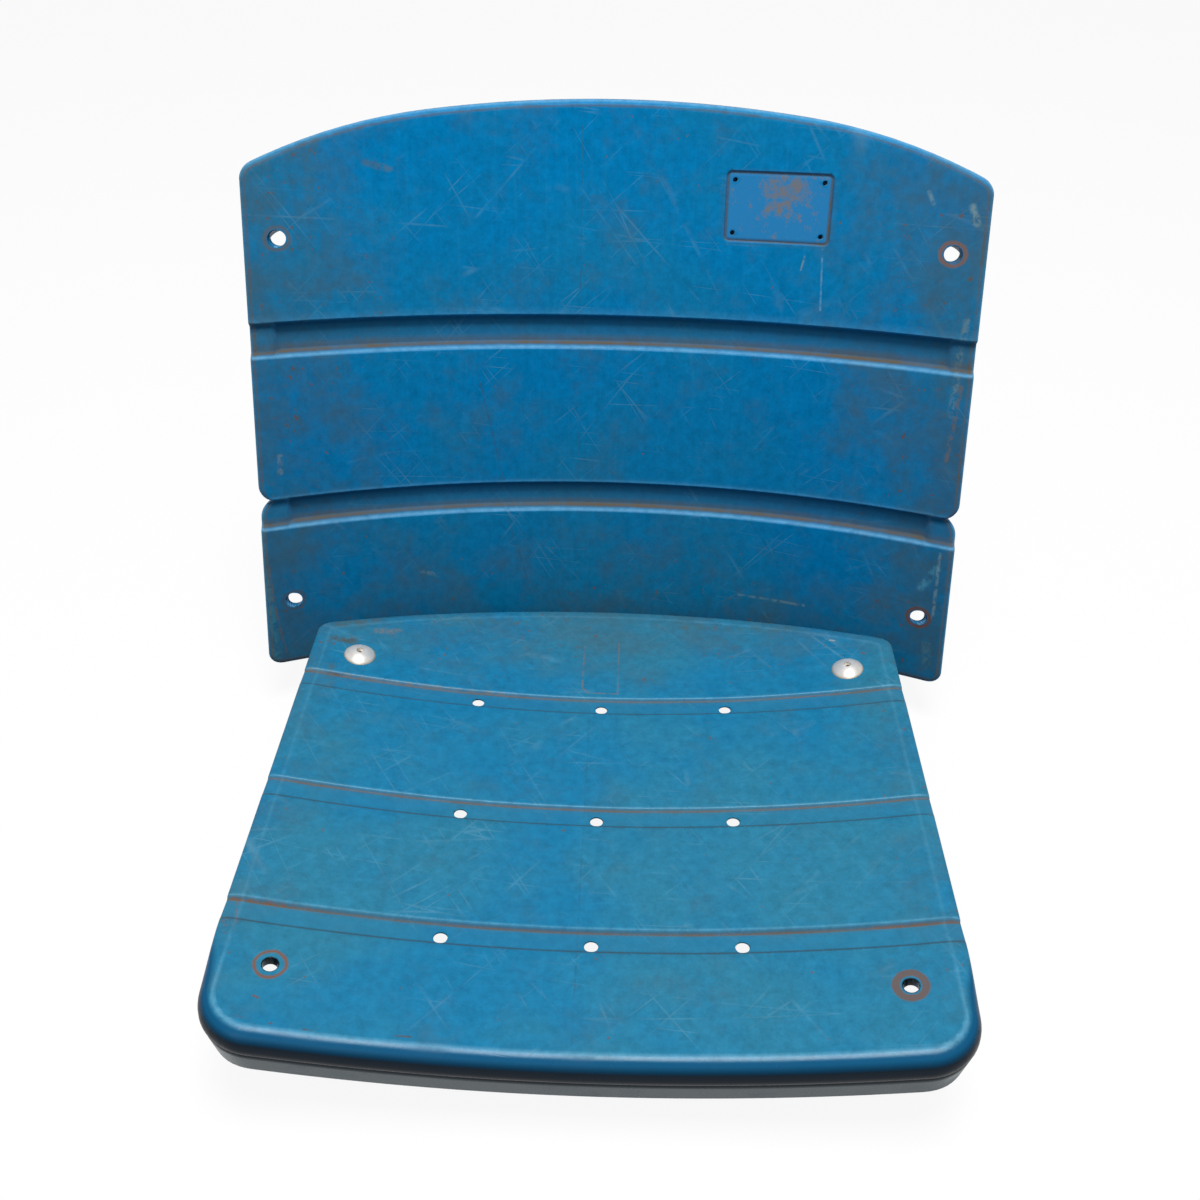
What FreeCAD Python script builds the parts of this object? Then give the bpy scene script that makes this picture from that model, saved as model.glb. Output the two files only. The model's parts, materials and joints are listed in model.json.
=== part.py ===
import FreeCAD, Part
import math
import os
import re

# Tip-up stadium seat: a hollow blow-moulded seat panel and back panel, joined by two
# pressed-steel hinge brackets under the seat's tail and behind the back.
# Seen from the front, X points to the right, Y to the rear and Z up.
# The origin is on the floor, in the middle of the object's box.
# "Dish" is the seat's sideways hollow, "tail" its rear edge and "nose" its front edge.

Vector = FreeCAD.Vector
Rotation = FreeCAD.Rotation
Placement = FreeCAD.Placement
X_AXIS = Vector(1, 0, 0)
Y_AXIS = Vector(0, 1, 0)
Z_AXIS = Vector(0, 0, 1)

# Driving dimensions in millimetres and degrees.
SIZES = [
    # Where the two panels stand
    ("seat_row", -87.65),         # middle row of drain holes, along Y
    ("seat_level", 62),           # lowest line of the dish above the floor
    ("back_reach", 272.6),        # middle of the back's face behind the middle drain row
    ("back_rise", 138.4),         # middle of the back's face above the dish
    ("recline", 13.65),           # lean of the back from upright
    # Seat panel
    ("seat_width", 412),
    ("seat_front", 172),          # nose in front of the middle drain row
    ("seat_behind", 216),         # tail behind the middle drain row
    ("dish_radius", 1004),
    ("tail_radius", 450),
    ("seat_thick", 26),
    ("nose_deep", 32),
    ("nose_long", 45),
    ("front_corner", 30),
    ("tail_corner", 12),
    ("seat_rim", 7),
    ("nose_foot_rim", 5),
    ("seat_groove_wide", 16),
    ("seat_groove_deep", 2.5),
    ("seat_groove_lead", 11.5),   # groove's rear edge behind its drain holes
    ("drain_rear", 103.6),
    ("drain_front", 94.2),
    ("drain_pitch", 85),
    ("drain_bore", 8),
    ("drain_web", 2),             # moulding left around a drain hole
    ("drain_relief", 18),
    ("wall", 3),
    ("pinch", 6),                 # both walls pressed into one at a bolt
    # Seat bolts and the arm channels under the seat
    ("bolt_line", 172),           # bolts from the middle plane
    ("bolt_rear", 136.7),
    ("bolt_front", 124.8),
    ("bolt_bore", 8.6),
    ("channel_wide", 34),
    ("channel_front", 146),
    # Back panel, in its own upright frame
    ("back_radius", 490.8),
    ("back_half", 245),           # half width at middle height
    ("back_flare", 0.026),        # half width gained for each mm downwards
    ("crest", 213),
    ("crest_radius", 990),
    ("shoulder_radius", 342),
    ("crest_half", 130),          # where the crest's arc meets the shoulder's arc
    ("back_bottom", 182.5),
    ("back_corner", 10),
    ("back_thick", 26),
    ("back_rim", 5),
    ("back_rear_rim", 4),
    ("upper_groove_low", 48.9),
    ("upper_groove_high", 69.7),
    ("lower_groove_low", -73.9),
    ("lower_groove_high", -54.5),
    ("back_groove_deep", 7),
    ("groove_step", 228),         # where the groove floors step up near the sides
    ("groove_step_deep", 3),
    ("notch_deep", 6.5),
    ("notch_high", 20),
    ("upper_hole_across", 221),
    ("upper_hole_up", 125.3),
    ("lower_hole_across", 228.8),
    ("lower_hole_down", 131.6),
    ("back_bore", 10.5),
    ("bore_relief", 30),
    ("plate_across", 109.9),
    ("plate_up", 147.6),
    ("plate_wide", 70.5),
    ("plate_high", 47),
    ("plate_deep", 1),
    ("plate_corner", 4),
    ("plate_hole_wide", 58.5),
    ("plate_hole_high", 34.6),
    ("plate_hole_bore", 3.2),
    ("plate_hole_deep", 9),
    # Pads behind the back that carry the brackets
    ("pad_face", 6),              # pad's flat behind the face's middle line
    ("pad_root", 22),             # how far the pad reaches into the panel
    ("pad_margin", 2),
    ("pad_low", 150),
    ("pad_high", 50),
    ("insert_low", 120),
    ("insert_high", 20),
    # Hinge brackets
    ("steel", 5),
    ("bracket_inner", 156),
    ("bracket_outer", 192),
    ("strap_front", 51),          # strap's front end in front of the middle drain row
    ("strap_bend", 8),
    ("lug_inner", 186),
    ("lug_front", 130),
    ("lug_rear", 189),
    ("lug_waist", 13.6),          # the lug stays clear of the back down to here below the pivot
    ("lug_chin", 17),             # and its front edge turns forward here
    ("pivot_clear", 0.5),         # room between the boss and the back's face
    ("pivot_drop", 6),            # pivot below the dish's lowest line
    ("pivot_boss", 8.5),          # radius of the metal around the pivot
    ("pin_bore", 8),
    ("anchor_bore", 9),
    ("anchor_front", 20),
    ("anchor_rear", 105),
    ("anchor_line", 168),
    # Seat arms
    ("arm_steel", 3),
    ("web_gap", 1),               # between the arm's web and the bracket's lug
    ("arm_front", 60),
    ("arm_flange", 26),
    ("arm_deep", 32),             # lowest edge of the web below the dish's lowest line
    ("arm_tail", 168),
    ("arm_slope", 19),            # sloping corner at the front of the web
    # Bumper, fasteners and pivot parts
    ("bumper_wide", 14),
    ("bumper_stem", 7),
    ("bumper_place", 55),
    ("stop_gap", 0.3),
    ("head_wide", 22),
    ("head_high", 4.5),
    ("head_recess", 5),
    ("bolt_size", 8),
    ("washer_wide", 16),
    ("washer_thick", 1.6),
    ("nut_flats", 13),
    ("nut_high", 6.5),
    ("bolt_spare", 3),            # thread showing past the nut
    ("pin_head_wide", 12),
    ("pin_head_high", 2.5),
    ("bush_wall", 1.5),
    ("bush_flange", 2),
    ("running", 0.05),            # radial play of the pin in its bush
    ("clip_wide", 13),
    ("clip_thick", 0.8),
    ("clip_mouth", 6.2),
    ("clip_gap", 0.1),
    ("pin_tail", 2),
    ("screw_size", 6),
    ("screw_flats", 10),
    ("screw_head", 4),
    ("screw_washer_wide", 12),
    ("screw_washer_thick", 1.6),
    ("insert_wide", 10),
    ("insert_long", 12),
    ("screw_play", 0.3),          # radial play of a screw in the bracket
    ("thread_play", 0.05),
    ("past", 20),                 # how far a cutting form runs past what it cuts
]

doc = FreeCAD.newDocument("stadium_seat")
sheet = doc.addObject("Spreadsheet::Sheet", "sizes")
size = {}
for row, (alias, value) in enumerate(SIZES, start=1):
    sheet.set("A%d" % row, str(value))
    sheet.setAlias("A%d" % row, alias)
    size[alias] = float(value)
doc.recompute()


# Helpers that bind sizes and places to the sheet

def formula(text):
    """The text with every size name turned into a reference to the sheet."""
    return re.sub(r"[a-z_]+", lambda word: "sizes." + word.group(0)
                  if word.group(0) in size else word.group(0), str(text))


def bind(thing, **properties):
    for name, text in properties.items():
        thing.setExpression(name, formula(text))


def put(thing, x="0", y="0", z="0"):
    for axis, text in zip("xyz", (x, y, z)):
        thing.setExpression("Placement.Base." + axis, formula(text))


def box(x, y, z):
    """A block given by its low and high sides along each axis."""
    block = doc.addObject("Part::Box", "block")
    bind(block, Length="(%s) - (%s)" % (x[1], x[0]), Width="(%s) - (%s)" % (y[1], y[0]),
         Height="(%s) - (%s)" % (z[1], z[0]))
    put(block, x[0], y[0], z[0])
    return block


AXIS_TURNS = {"x": Rotation(Y_AXIS, 90), "y": Rotation(X_AXIS, -90), "z": Rotation()}


def rod(radius, along, low, high, x="0", y="0", z="0"):
    """A round bar along one axis, from low to high on it."""
    bar = doc.addObject("Part::Cylinder", "rod")
    bar.Placement = Placement(Vector(), AXIS_TURNS[along])
    bind(bar, Radius=radius, Height="(%s) - (%s)" % (high, low))
    centre = {"x": x, "y": y, "z": z}
    centre[along] = low
    put(bar, centre["x"], centre["y"], centre["z"])
    return bar


def hexagon(flats, along, low, high, x="0", y="0", z="0"):
    """A hexagonal bar given by its width across flats."""
    bar = doc.addObject("Part::Prism", "hexagon")
    bar.Polygon = 6
    bar.Placement = Placement(Vector(), AXIS_TURNS[along].multiply(Rotation(Z_AXIS, 30)))
    bind(bar, Circumradius="(%s) / sqrt(3)" % flats, Height="(%s) - (%s)" % (high, low))
    centre = {"x": x, "y": y, "z": z}
    centre[along] = low
    put(bar, centre["x"], centre["y"], centre["z"])
    return bar


def fuse(*things):
    union = doc.addObject("Part::MultiFuse", "union")
    union.Shapes = list(things)
    return union


def common(*things):
    overlap = doc.addObject("Part::MultiCommon", "overlap")
    overlap.Shapes = list(things)
    return overlap


def cut(base, *tools):
    rest = doc.addObject("Part::Cut", "rest")
    rest.Base = base
    rest.Tool = tools[0] if len(tools) == 1 else fuse(*tools)
    return rest


def group(*things):
    together = doc.addObject("Part::Compound", "together")
    together.Links = list(things)
    return together


def rounded(base, radius, wanted):
    """The base with the edges that pass the test rounded."""
    doc.recompute()
    numbers = [i for i, edge in enumerate(base.Shape.Edges, start=1) if wanted(edge)]
    if not numbers:
        raise ValueError("no edge to round on " + base.Name)
    fillet = doc.addObject("Part::Fillet", "rounded")
    fillet.Base = base
    fillet.Edges = [(i, radius, radius) for i in numbers]
    return fillet


def drawn(name, shape):
    """A form whose outline has arcs that the blocks and bars can't give."""
    feature = doc.addObject("Part::Feature", name)
    feature.Shape = shape
    return feature


def middle(edge):
    return edge.valueAt((edge.FirstParameter + edge.LastParameter) / 2)


def runs_along(edge, axis):
    """Whether an edge starts out along an axis."""
    return abs(edge.tangentAt(edge.FirstParameter).dot(axis)) > 0.9


nodes = {}


def node(name, thing):
    """Keep a finished sub-part under the name of its file."""
    thing.Label = name
    nodes[name] = thing
    return thing


SIDES = (("left", -1), ("right", 1))


def span(side, inner, outer):
    """Low and high X of a piece between two distances from the middle plane."""
    if side > 0:
        return (inner, outer)
    return ("-(%s)" % outer, "-(%s)" % inner)


# Seat frame: heights are counted from the dish's lowest line

def seat_z(text):
    return "seat_level + (%s)" % text


def seat_y(text):
    return "seat_row + (%s)" % text


def dish_bowl(depth):
    """Everything above a surface that lies a depth below the dish."""
    return rod("dish_radius + (%s)" % depth, "y", seat_y("-seat_front - past"),
               seat_y("seat_behind + past"), z=seat_z("dish_radius"))


def on_dish(thing, side, along, depth="0"):
    """Stand a piece on the dish at the bolt line, square to its surface."""
    turn = "asin(bolt_line / dish_radius)"
    thing.Placement = Placement(Vector(), Rotation(Y_AXIS * -side, 1))
    thing.setExpression("Placement.Rotation.Angle", formula(turn))
    radius = "(dish_radius + (%s))" % depth
    put(thing, "%d * %s * bolt_line / dish_radius" % (side, radius), seat_y(along),
        seat_z("dish_radius - %s * cos(%s)" % (radius, turn)))
    return thing


# Back frame: X across, Y behind the face's middle line and Z up, before the recline

def on_back(thing):
    thing.Placement = Placement(Vector(), Rotation(-X_AXIS, 1))
    thing.setExpression("Placement.Rotation.Angle", formula("recline"))
    put(thing, "0", "seat_row + back_reach", "seat_level + back_rise")
    return thing


def back_drum(depth):
    """Everything in front of a surface that lies a depth behind the back's face."""
    return rod("back_radius + (%s)" % depth, "z", "-back_bottom - past", "crest + past",
               y="-back_radius")


# Seat panel

def seat_plan(inset):
    """The seat seen from above, drawn in by an inset and made tall."""
    half = size["seat_width"] / 2 - inset
    front = size["seat_row"] - size["seat_front"] + inset
    tail_radius = size["tail_radius"] - inset
    tail_centre = size["seat_row"] + size["seat_behind"] - size["tail_radius"]
    corner = tail_centre + math.sqrt(tail_radius ** 2 - half ** 2)
    points = [Vector(half, corner), Vector(half, front), Vector(-half, front), Vector(-half, corner)]
    edges = [Part.LineSegment(a, b).toShape() for a, b in zip(points, points[1:])]
    crown = Vector(0, tail_centre + tail_radius)
    edges.append(Part.Arc(points[3], crown, points[0]).toShape())
    block = Part.Face(Part.Wire(edges)).extrude(Z_AXIS * (size["seat_level"] + size["nose_deep"]))
    fronts = [edge for edge in block.Edges if runs_along(edge, Z_AXIS) and middle(edge).y < corner - 1]
    block = block.makeFillet(size["front_corner"] - inset, fronts)
    tails = [edge for edge in block.Edges if runs_along(edge, Z_AXIS) and middle(edge).y > corner - 1]
    return block.makeFillet(size["tail_corner"] - inset, tails)


def seat_blank(plan, top, bottom, nose_bottom, nose_back):
    """The dished slab with its deep nose, inside a plan."""
    slab = cut(common(plan, dish_bowl(bottom)), dish_bowl(top))
    nose_room = box(("-seat_width", "seat_width"), (seat_y("-seat_front"), seat_y(nose_back)),
                    ("0", seat_z("nose_deep")))
    nose = cut(common(plan, dish_bowl(nose_bottom), nose_room), dish_bowl(top))
    return fuse(slab, nose)


def dish_height(point):
    """How far a point lies below the dish, along the dish's radius."""
    across = point.x
    above = size["seat_level"] + size["dish_radius"] - point.z
    return math.hypot(across, above) - size["dish_radius"]


def is_top_rim(edge):
    ends = (edge.valueAt(edge.FirstParameter), middle(edge))
    return all(abs(dish_height(point)) < 0.01 for point in ends)


def is_nose_foot(edge):
    ends = (edge.valueAt(edge.FirstParameter), middle(edge), edge.valueAt(edge.LastParameter))
    inner = size["seat_row"] - size["seat_front"] + size["nose_long"] - 0.01
    return (all(abs(dish_height(point) - size["nose_deep"]) < 0.01 for point in ends)
            and any(point.y < inner for point in ends))


seat_outer = drawn("seat_plan", seat_plan(0))
seat_skin = seat_blank(seat_outer, "0", "seat_thick", "nose_deep", "-seat_front + nose_long")
seat_skin = rounded(seat_skin, size["seat_rim"], is_top_rim)
seat_skin = rounded(seat_skin, size["nose_foot_rim"], is_nose_foot)
seat_inner = drawn("seat_hollow_plan", seat_plan(size["wall"]))
seat_hollow = seat_blank(seat_inner, "wall + seat_groove_deep", "seat_thick - wall",
                         "nose_deep - wall", "-seat_front + nose_long - wall")

DRAIN_ROWS = ("drain_rear", "0", "-drain_front")
drains = []
drain_reliefs = []
drain_posts = []
seat_grooves = []
for drain_row in DRAIN_ROWS:
    groove_rear = seat_y("%s + seat_groove_lead" % drain_row)
    strip = box(("-seat_width", "seat_width"), ("%s - seat_groove_wide" % groove_rear, groove_rear),
                (seat_z("-seat_thick"), seat_z("seat_thick * 2")))
    seat_grooves.append(common(strip, dish_bowl("seat_groove_deep")))
    for column in (-1, 0, 1):
        centre = {"x": "%d * drain_pitch" % column, "y": seat_y(drain_row)}
        drains.append(rod("drain_bore / 2", "z", "0", seat_z("nose_deep"), **centre))
        relief_top = seat_z("dish_radius - sqrt(dish_radius ^ 2 - (%s) ^ 2) - seat_groove_deep"
                            " - drain_web" % centre["x"])
        drain_reliefs.append(rod("drain_relief / 2", "z", "0", relief_top, **centre))
        drain_posts.append(rod("drain_relief / 2 + wall", "z", "0", seat_z("nose_deep"), **centre))

channels = []
channel_banks = []
seat_bores = []
for _, side in SIDES:
    channel_inner = "bolt_line - channel_wide / 2"
    channel_outer = "bolt_line + channel_wide / 2"
    room = (seat_y("-channel_front"), seat_y("seat_behind"))
    below = ("0", seat_z("nose_deep"))
    trough = box(span(side, channel_inner, channel_outer), room, below)
    channels.append(cut(trough, dish_bowl("pinch")))
    bank = box(span(side, channel_inner + " - wall", channel_outer + " + wall"),
               (room[0] + " - wall", room[1]), below)
    channel_banks.append(bank)
    for along in ("bolt_rear", "-bolt_front"):
        bore = rod("bolt_bore / 2", "z", "-past", "past")
        seat_bores.append(on_dish(group(bore), side, along))

seat_hollow = cut(seat_hollow, *(drain_posts + channel_banks))
seat_cuts = [seat_hollow] + seat_grooves + drains + drain_reliefs + channels + seat_bores
node("seat_panel", cut(seat_skin, *seat_cuts))


# Back panel

def back_side(up, inset):
    """Half the back's width at a height."""
    return size["back_half"] - size["back_flare"] * up - inset


def back_front_view(inset):
    """The back seen from the front: flared sides and a crest of three arcs, made deep."""
    crest = size["crest"] - inset
    bottom = -size["back_bottom"] + inset
    arc = size["crest_radius"] - inset
    shoulder = size["shoulder_radius"] - inset
    lean = math.asin(size["crest_half"] / size["crest_radius"])
    crest_centre = size["crest"] - size["crest_radius"]
    shoulder_gap = size["crest_radius"] - size["shoulder_radius"]
    shoulder_across = shoulder_gap * math.sin(lean)
    shoulder_up = crest_centre + shoulder_gap * math.cos(lean)

    def on_shoulder(angle):
        return Vector(shoulder_across + shoulder * math.sin(angle), 0,
                      shoulder_up + shoulder * math.cos(angle))

    # The shoulder's arc ends where it meets the flared side.
    outer = lean
    step = (math.pi / 2 - lean) / 2
    for _ in range(50):
        point = on_shoulder(outer + step)
        if point.x < back_side(point.z, inset):
            outer += step
        step /= 2
    corner = on_shoulder(outer)
    joint = on_shoulder(lean)
    bend = on_shoulder((lean + outer) / 2)
    top = Vector(0, 0, crest)
    foot = Vector(back_side(bottom, inset), 0, bottom)

    def mirror(point):
        return Vector(-point.x, 0, point.z)

    edges = [
        Part.LineSegment(mirror(foot), foot),
        Part.LineSegment(foot, corner),
        Part.Arc(corner, bend, joint),
        Part.Arc(joint, top, mirror(joint)),
        Part.Arc(mirror(joint), mirror(bend), mirror(corner)),
        Part.LineSegment(mirror(corner), mirror(foot)),
    ]
    face = Part.Face(Part.Wire([edge.toShape() for edge in edges]))
    deep = 2 * size["back_radius"]
    block = face.extrude(Y_AXIS * deep)
    block.translate(Y_AXIS * (-deep / 2))
    corners = [edge for edge in block.Edges if runs_along(edge, Y_AXIS)
               and abs(middle(edge).x) > corner.x - 1]
    return block.makeFillet(size["back_corner"] - inset, corners)


def back_blank(view, front, rear):
    return cut(common(view, back_drum(rear)), back_drum(front))


def drum_depth(point):
    return math.hypot(point.x, point.y + size["back_radius"]) - size["back_radius"]


def lies_at(edge, depth):
    ends = (edge.valueAt(edge.FirstParameter), middle(edge), edge.valueAt(edge.LastParameter))
    return all(abs(drum_depth(point) - depth) < 0.01 for point in ends)


back_outer = drawn("back_view", back_front_view(0))
back_skin = back_blank(back_outer, "0", "back_thick")
back_skin = rounded(back_skin, size["back_rim"], lambda edge: lies_at(edge, 0))
back_skin = rounded(back_skin, size["back_rear_rim"], lambda edge: lies_at(edge, size["back_thick"]))
back_inner = drawn("back_hollow_view", back_front_view(size["wall"]))
back_hollow = back_blank(back_inner, "wall", "back_thick - wall")

back_cuts = []
groove_banks = []
for low, high in (("upper_groove_low", "upper_groove_high"), ("lower_groove_low", "lower_groove_high")):
    middle_strip = box(("-groove_step", "groove_step"), ("-back_radius", "back_thick"), (low, high))
    whole_strip = box(("-back_half * 2", "back_half * 2"), ("-back_radius", "back_thick"), (low, high))
    back_cuts.append(common(middle_strip, back_drum("back_groove_deep")))
    back_cuts.append(common(whole_strip, back_drum("groove_step_deep")))
    bank = box(("-back_half * 2", "back_half * 2"), ("-back_radius", "back_thick"),
               (low + " - wall", high + " + wall"))
    groove_banks.append(common(bank, back_drum("back_groove_deep + wall")))

notch_up = size["lower_groove_high"]
for _, side in SIDES:
    tip = Vector(side * (back_side(notch_up, 0) - size["notch_deep"]), -size["back_radius"], notch_up)
    mouth = side * (back_side(notch_up, 0) + size["notch_deep"])
    rise = Vector(0, 0, size["notch_high"])
    corners = [tip, Vector(mouth, tip.y, tip.z) + rise, Vector(mouth, tip.y, tip.z) - rise, tip]
    wedge = Part.Face(Part.makePolygon(corners)).extrude(Y_AXIS * 2 * size["back_radius"])
    back_cuts.append(drawn("notch", wedge))

back_posts = []
for across, up in (("upper_hole_across", "upper_hole_up"), ("lower_hole_across", "-lower_hole_down")):
    for _, side in SIDES:
        centre = {"x": "%d * %s" % (side, across), "z": up}
        back_cuts.append(rod("back_bore / 2", "y", "-back_radius", "back_thick + past", **centre))
        relief_front = ("sqrt(back_radius ^ 2 - (%s) ^ 2) - back_radius + pinch" % across)
        back_cuts.append(rod("bore_relief / 2", "y", relief_front, "back_thick + past", **centre))
        back_posts.append(rod("bore_relief / 2 + wall", "y", "-back_radius", "back_thick + past", **centre))

plate_pocket = box(("plate_across - plate_wide / 2", "plate_across + plate_wide / 2"),
                   ("-back_radius / 2", "0"),
                   ("plate_up - plate_high / 2", "plate_up + plate_high / 2"))
plate_pocket = rounded(plate_pocket, size["plate_corner"], lambda edge: runs_along(edge, Y_AXIS))
back_cuts.append(common(plate_pocket, back_drum("plate_deep")))
for across in (-1, 1):
    for up in (-1, 1):
        hole_x = "plate_across + %d * plate_hole_wide / 2" % across
        start = "sqrt(back_radius ^ 2 - (%s) ^ 2) - back_radius" % hole_x
        hole = rod("plate_hole_bore / 2", "y", start + " - plate_hole_deep", start + " + plate_hole_deep",
                   x=hole_x, z="plate_up + %d * plate_hole_high / 2" % up)
        back_cuts.append(hole)

pads = []
insert_bores = []
for _, side in SIDES:
    pad = box(span(side, "bracket_inner - pad_margin", "bracket_outer + pad_margin"),
              ("pad_face - pad_root", "pad_face"), ("-pad_low", "pad_high"))
    pads.append(cut(pad, back_drum("back_thick - wall")))
    pad_x = "%d * (bracket_inner + bracket_outer) / 2" % side
    for up in ("-insert_low", "insert_high"):
        insert_bores.append(rod("insert_wide / 2", "y", "pad_face - insert_long", "pad_face + past",
                                x=pad_x, z=up))
        back_posts.append(rod("insert_wide / 2 + wall", "y", "-back_radius", "pad_face", x=pad_x, z=up))

back_hollow = cut(back_hollow, *(back_posts + groove_banks))
back_panel = cut(fuse(cut(back_skin, *([back_hollow] + back_cuts)), *pads), *insert_bores)
node("back_panel", on_back(back_panel))


# Threaded inserts, screws and washers that hold the brackets to the back's pads

for name, side in SIDES:
    inserts = []
    screws = []
    washers = []
    pad_x = "%d * (bracket_inner + bracket_outer) / 2" % side
    steel_face = "pad_face + steel"
    head_face = "pad_face + steel + screw_washer_thick"
    for up in ("-insert_low", "insert_high"):
        centre = {"x": pad_x, "z": up}
        sleeve = rod("insert_wide / 2", "y", "pad_face - insert_long", "pad_face", **centre)
        thread = rod("screw_size / 2 + thread_play", "y", "pad_face - insert_long", "pad_face", **centre)
        inserts.append(cut(sleeve, thread))
        shank = rod("screw_size / 2", "y", "pad_face - insert_long + 1", head_face, **centre)
        head = hexagon("screw_flats", "y", head_face, head_face + " + screw_head", **centre)
        screws.append(fuse(shank, head))
        ring = rod("screw_washer_wide / 2", "y", steel_face, head_face, **centre)
        eye = rod("screw_size / 2 + thread_play", "y", steel_face, head_face, **centre)
        washers.append(cut(ring, eye))
    node("back_inserts_" + name, on_back(group(*inserts)))
    node("back_screws_" + name, on_back(group(*screws)))
    node("back_washers_" + name, on_back(group(*washers)))


# Hinge brackets: a strap on the floor that bends up behind the back, with a lug for the pivot

def bracket_strip(side):
    """The bent strap, from its outline seen from the side."""
    lean = math.radians(size["recline"])
    up = Vector(0, math.sin(lean), math.cos(lean))
    rearward = Vector(0, math.cos(lean), -math.sin(lean))
    origin = Vector(0, size["seat_row"] + size["back_reach"], size["seat_level"] + size["back_rise"])
    near = origin + rearward * size["pad_face"]
    far = near + rearward * size["steel"]

    def at_height(start, height):
        return start + up * ((height - start.z) / up.z)

    front = size["seat_row"] - size["strap_front"]
    outline = [
        Vector(0, front, 0),
        at_height(far, 0),
        far + up * size["pad_high"],
        near + up * size["pad_high"],
        at_height(near, size["steel"]),
        Vector(0, front, size["steel"]),
    ]
    face = Part.Face(Part.makePolygon(outline + outline[:1]))
    low, high = sorted((side * size["bracket_inner"], side * size["bracket_outer"]))
    strip = face.extrude(X_AXIS * (high - low))
    strip.translate(X_AXIS * low)

    def bend_edges(solid, corner):
        return [edge for edge in solid.Edges if runs_along(edge, X_AXIS)
                and math.hypot(middle(edge).y - corner.y, middle(edge).z - corner.z) < 0.01]

    strip = strip.makeFillet(size["strap_bend"], bend_edges(strip, outline[4]))
    return strip.makeFillet(size["strap_bend"] + size["steel"], bend_edges(strip, outline[1]))


def tangent_plate(low, high, corners, centre, radius):
    """A plate whose outline runs round a boss: corners, then the boss's circle."""
    outline = [Vector(low, y, z) for y, z in corners]
    plate = Part.Face(Part.makePolygon(outline + outline[:1])).extrude(X_AXIS * (high - low))
    boss = Part.makeCylinder(radius, high - low, Vector(low, centre[0], centre[1]), X_AXIS)
    return plate.fuse(boss).removeSplitter()


# The pivot lies as close in front of the back's face as its boss can go.
pin_end = "(lug_inner + steel + clip_gap + clip_thick + pin_tail)"
face_back = "(sqrt(back_radius ^ 2 - %s ^ 2) - back_radius)" % pin_end
face_down = "((back_rise + pivot_drop - %s * sin(recline)) / cos(recline))" % face_back
face_y = "back_reach + %s * cos(recline) - %s * sin(recline)" % (face_back, face_down)
pivot_point = doc.addObject("Part::Vertex", "pivot_point")
bind(pivot_point, Y=seat_y("%s - pivot_boss - pivot_clear" % face_y), Z=seat_z("-pivot_drop"))
doc.recompute()
pivot_y = pivot_point.Y.Value
pivot_z = pivot_point.Z.Value
pivot = {"y": "(pivot_point.Y / 1 mm)", "z": "(pivot_point.Z / 1 mm)"}
boss = size["pivot_boss"]
print("pivot at y %.3f z %.3f" % (pivot_y, pivot_z))

for name, side in SIDES:
    low, high = sorted((side * size["lug_inner"], side * (size["lug_inner"] + size["steel"])))
    lug_corners = [
        (size["seat_row"] + size["lug_front"], size["steel"] / 2),
        (size["seat_row"] + size["lug_rear"], size["steel"] / 2),
        (size["seat_row"] + size["lug_rear"], pivot_z - size["lug_waist"]),
        (pivot_y + boss, pivot_z),
        (pivot_y - boss, pivot_z),
        (pivot_y - boss, pivot_z - size["lug_chin"]),
    ]
    strip = drawn("strap", bracket_strip(side))
    lug = drawn("lug", tangent_plate(low, high, lug_corners, (pivot_y, pivot_z), boss))
    lug_x = span(side, "lug_inner - past", "lug_inner + steel + past")
    pin_hole = rod("pin_bore / 2", "x", lug_x[0], lug_x[1], **pivot)
    anchors = [rod("anchor_bore / 2", "z", "-past", "steel + past", x="%d * anchor_line" % side,
                   y=seat_y(along)) for along in ("-anchor_front", "anchor_rear")]
    bumper_x = "%d * (lug_inner - web_gap - arm_steel / 2)" % side
    bumper_y = seat_y("bumper_place")
    stem_hole = rod("bumper_stem / 2", "z", "-past", "steel + past", x=bumper_x, y=bumper_y)
    screw_holes = [rod("screw_size / 2 + screw_play", "y", "pad_face - past", "pad_face + past",
                       x="%d * (bracket_inner + bracket_outer) / 2" % side, z=up)
                   for up in ("-insert_low", "insert_high")]
    bracket = cut(fuse(strip, lug), pin_hole, stem_hole, on_back(fuse(*screw_holes)), *anchors)
    node("hinge_bracket_" + name, bracket)

    # Rubber bumper that the arm rests on when the seat is down
    bumper_top = seat_z("-arm_deep - stop_gap")
    buffer = fuse(rod("bumper_wide / 2", "z", "steel", bumper_top, x=bumper_x, y=bumper_y),
                  rod("bumper_stem / 2", "z", "0", "steel", x=bumper_x, y=bumper_y))
    node("stop_bumper_" + name, buffer)


# Seat arms: a flange under the seat in its channel, and a web that runs back to the pivot

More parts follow.
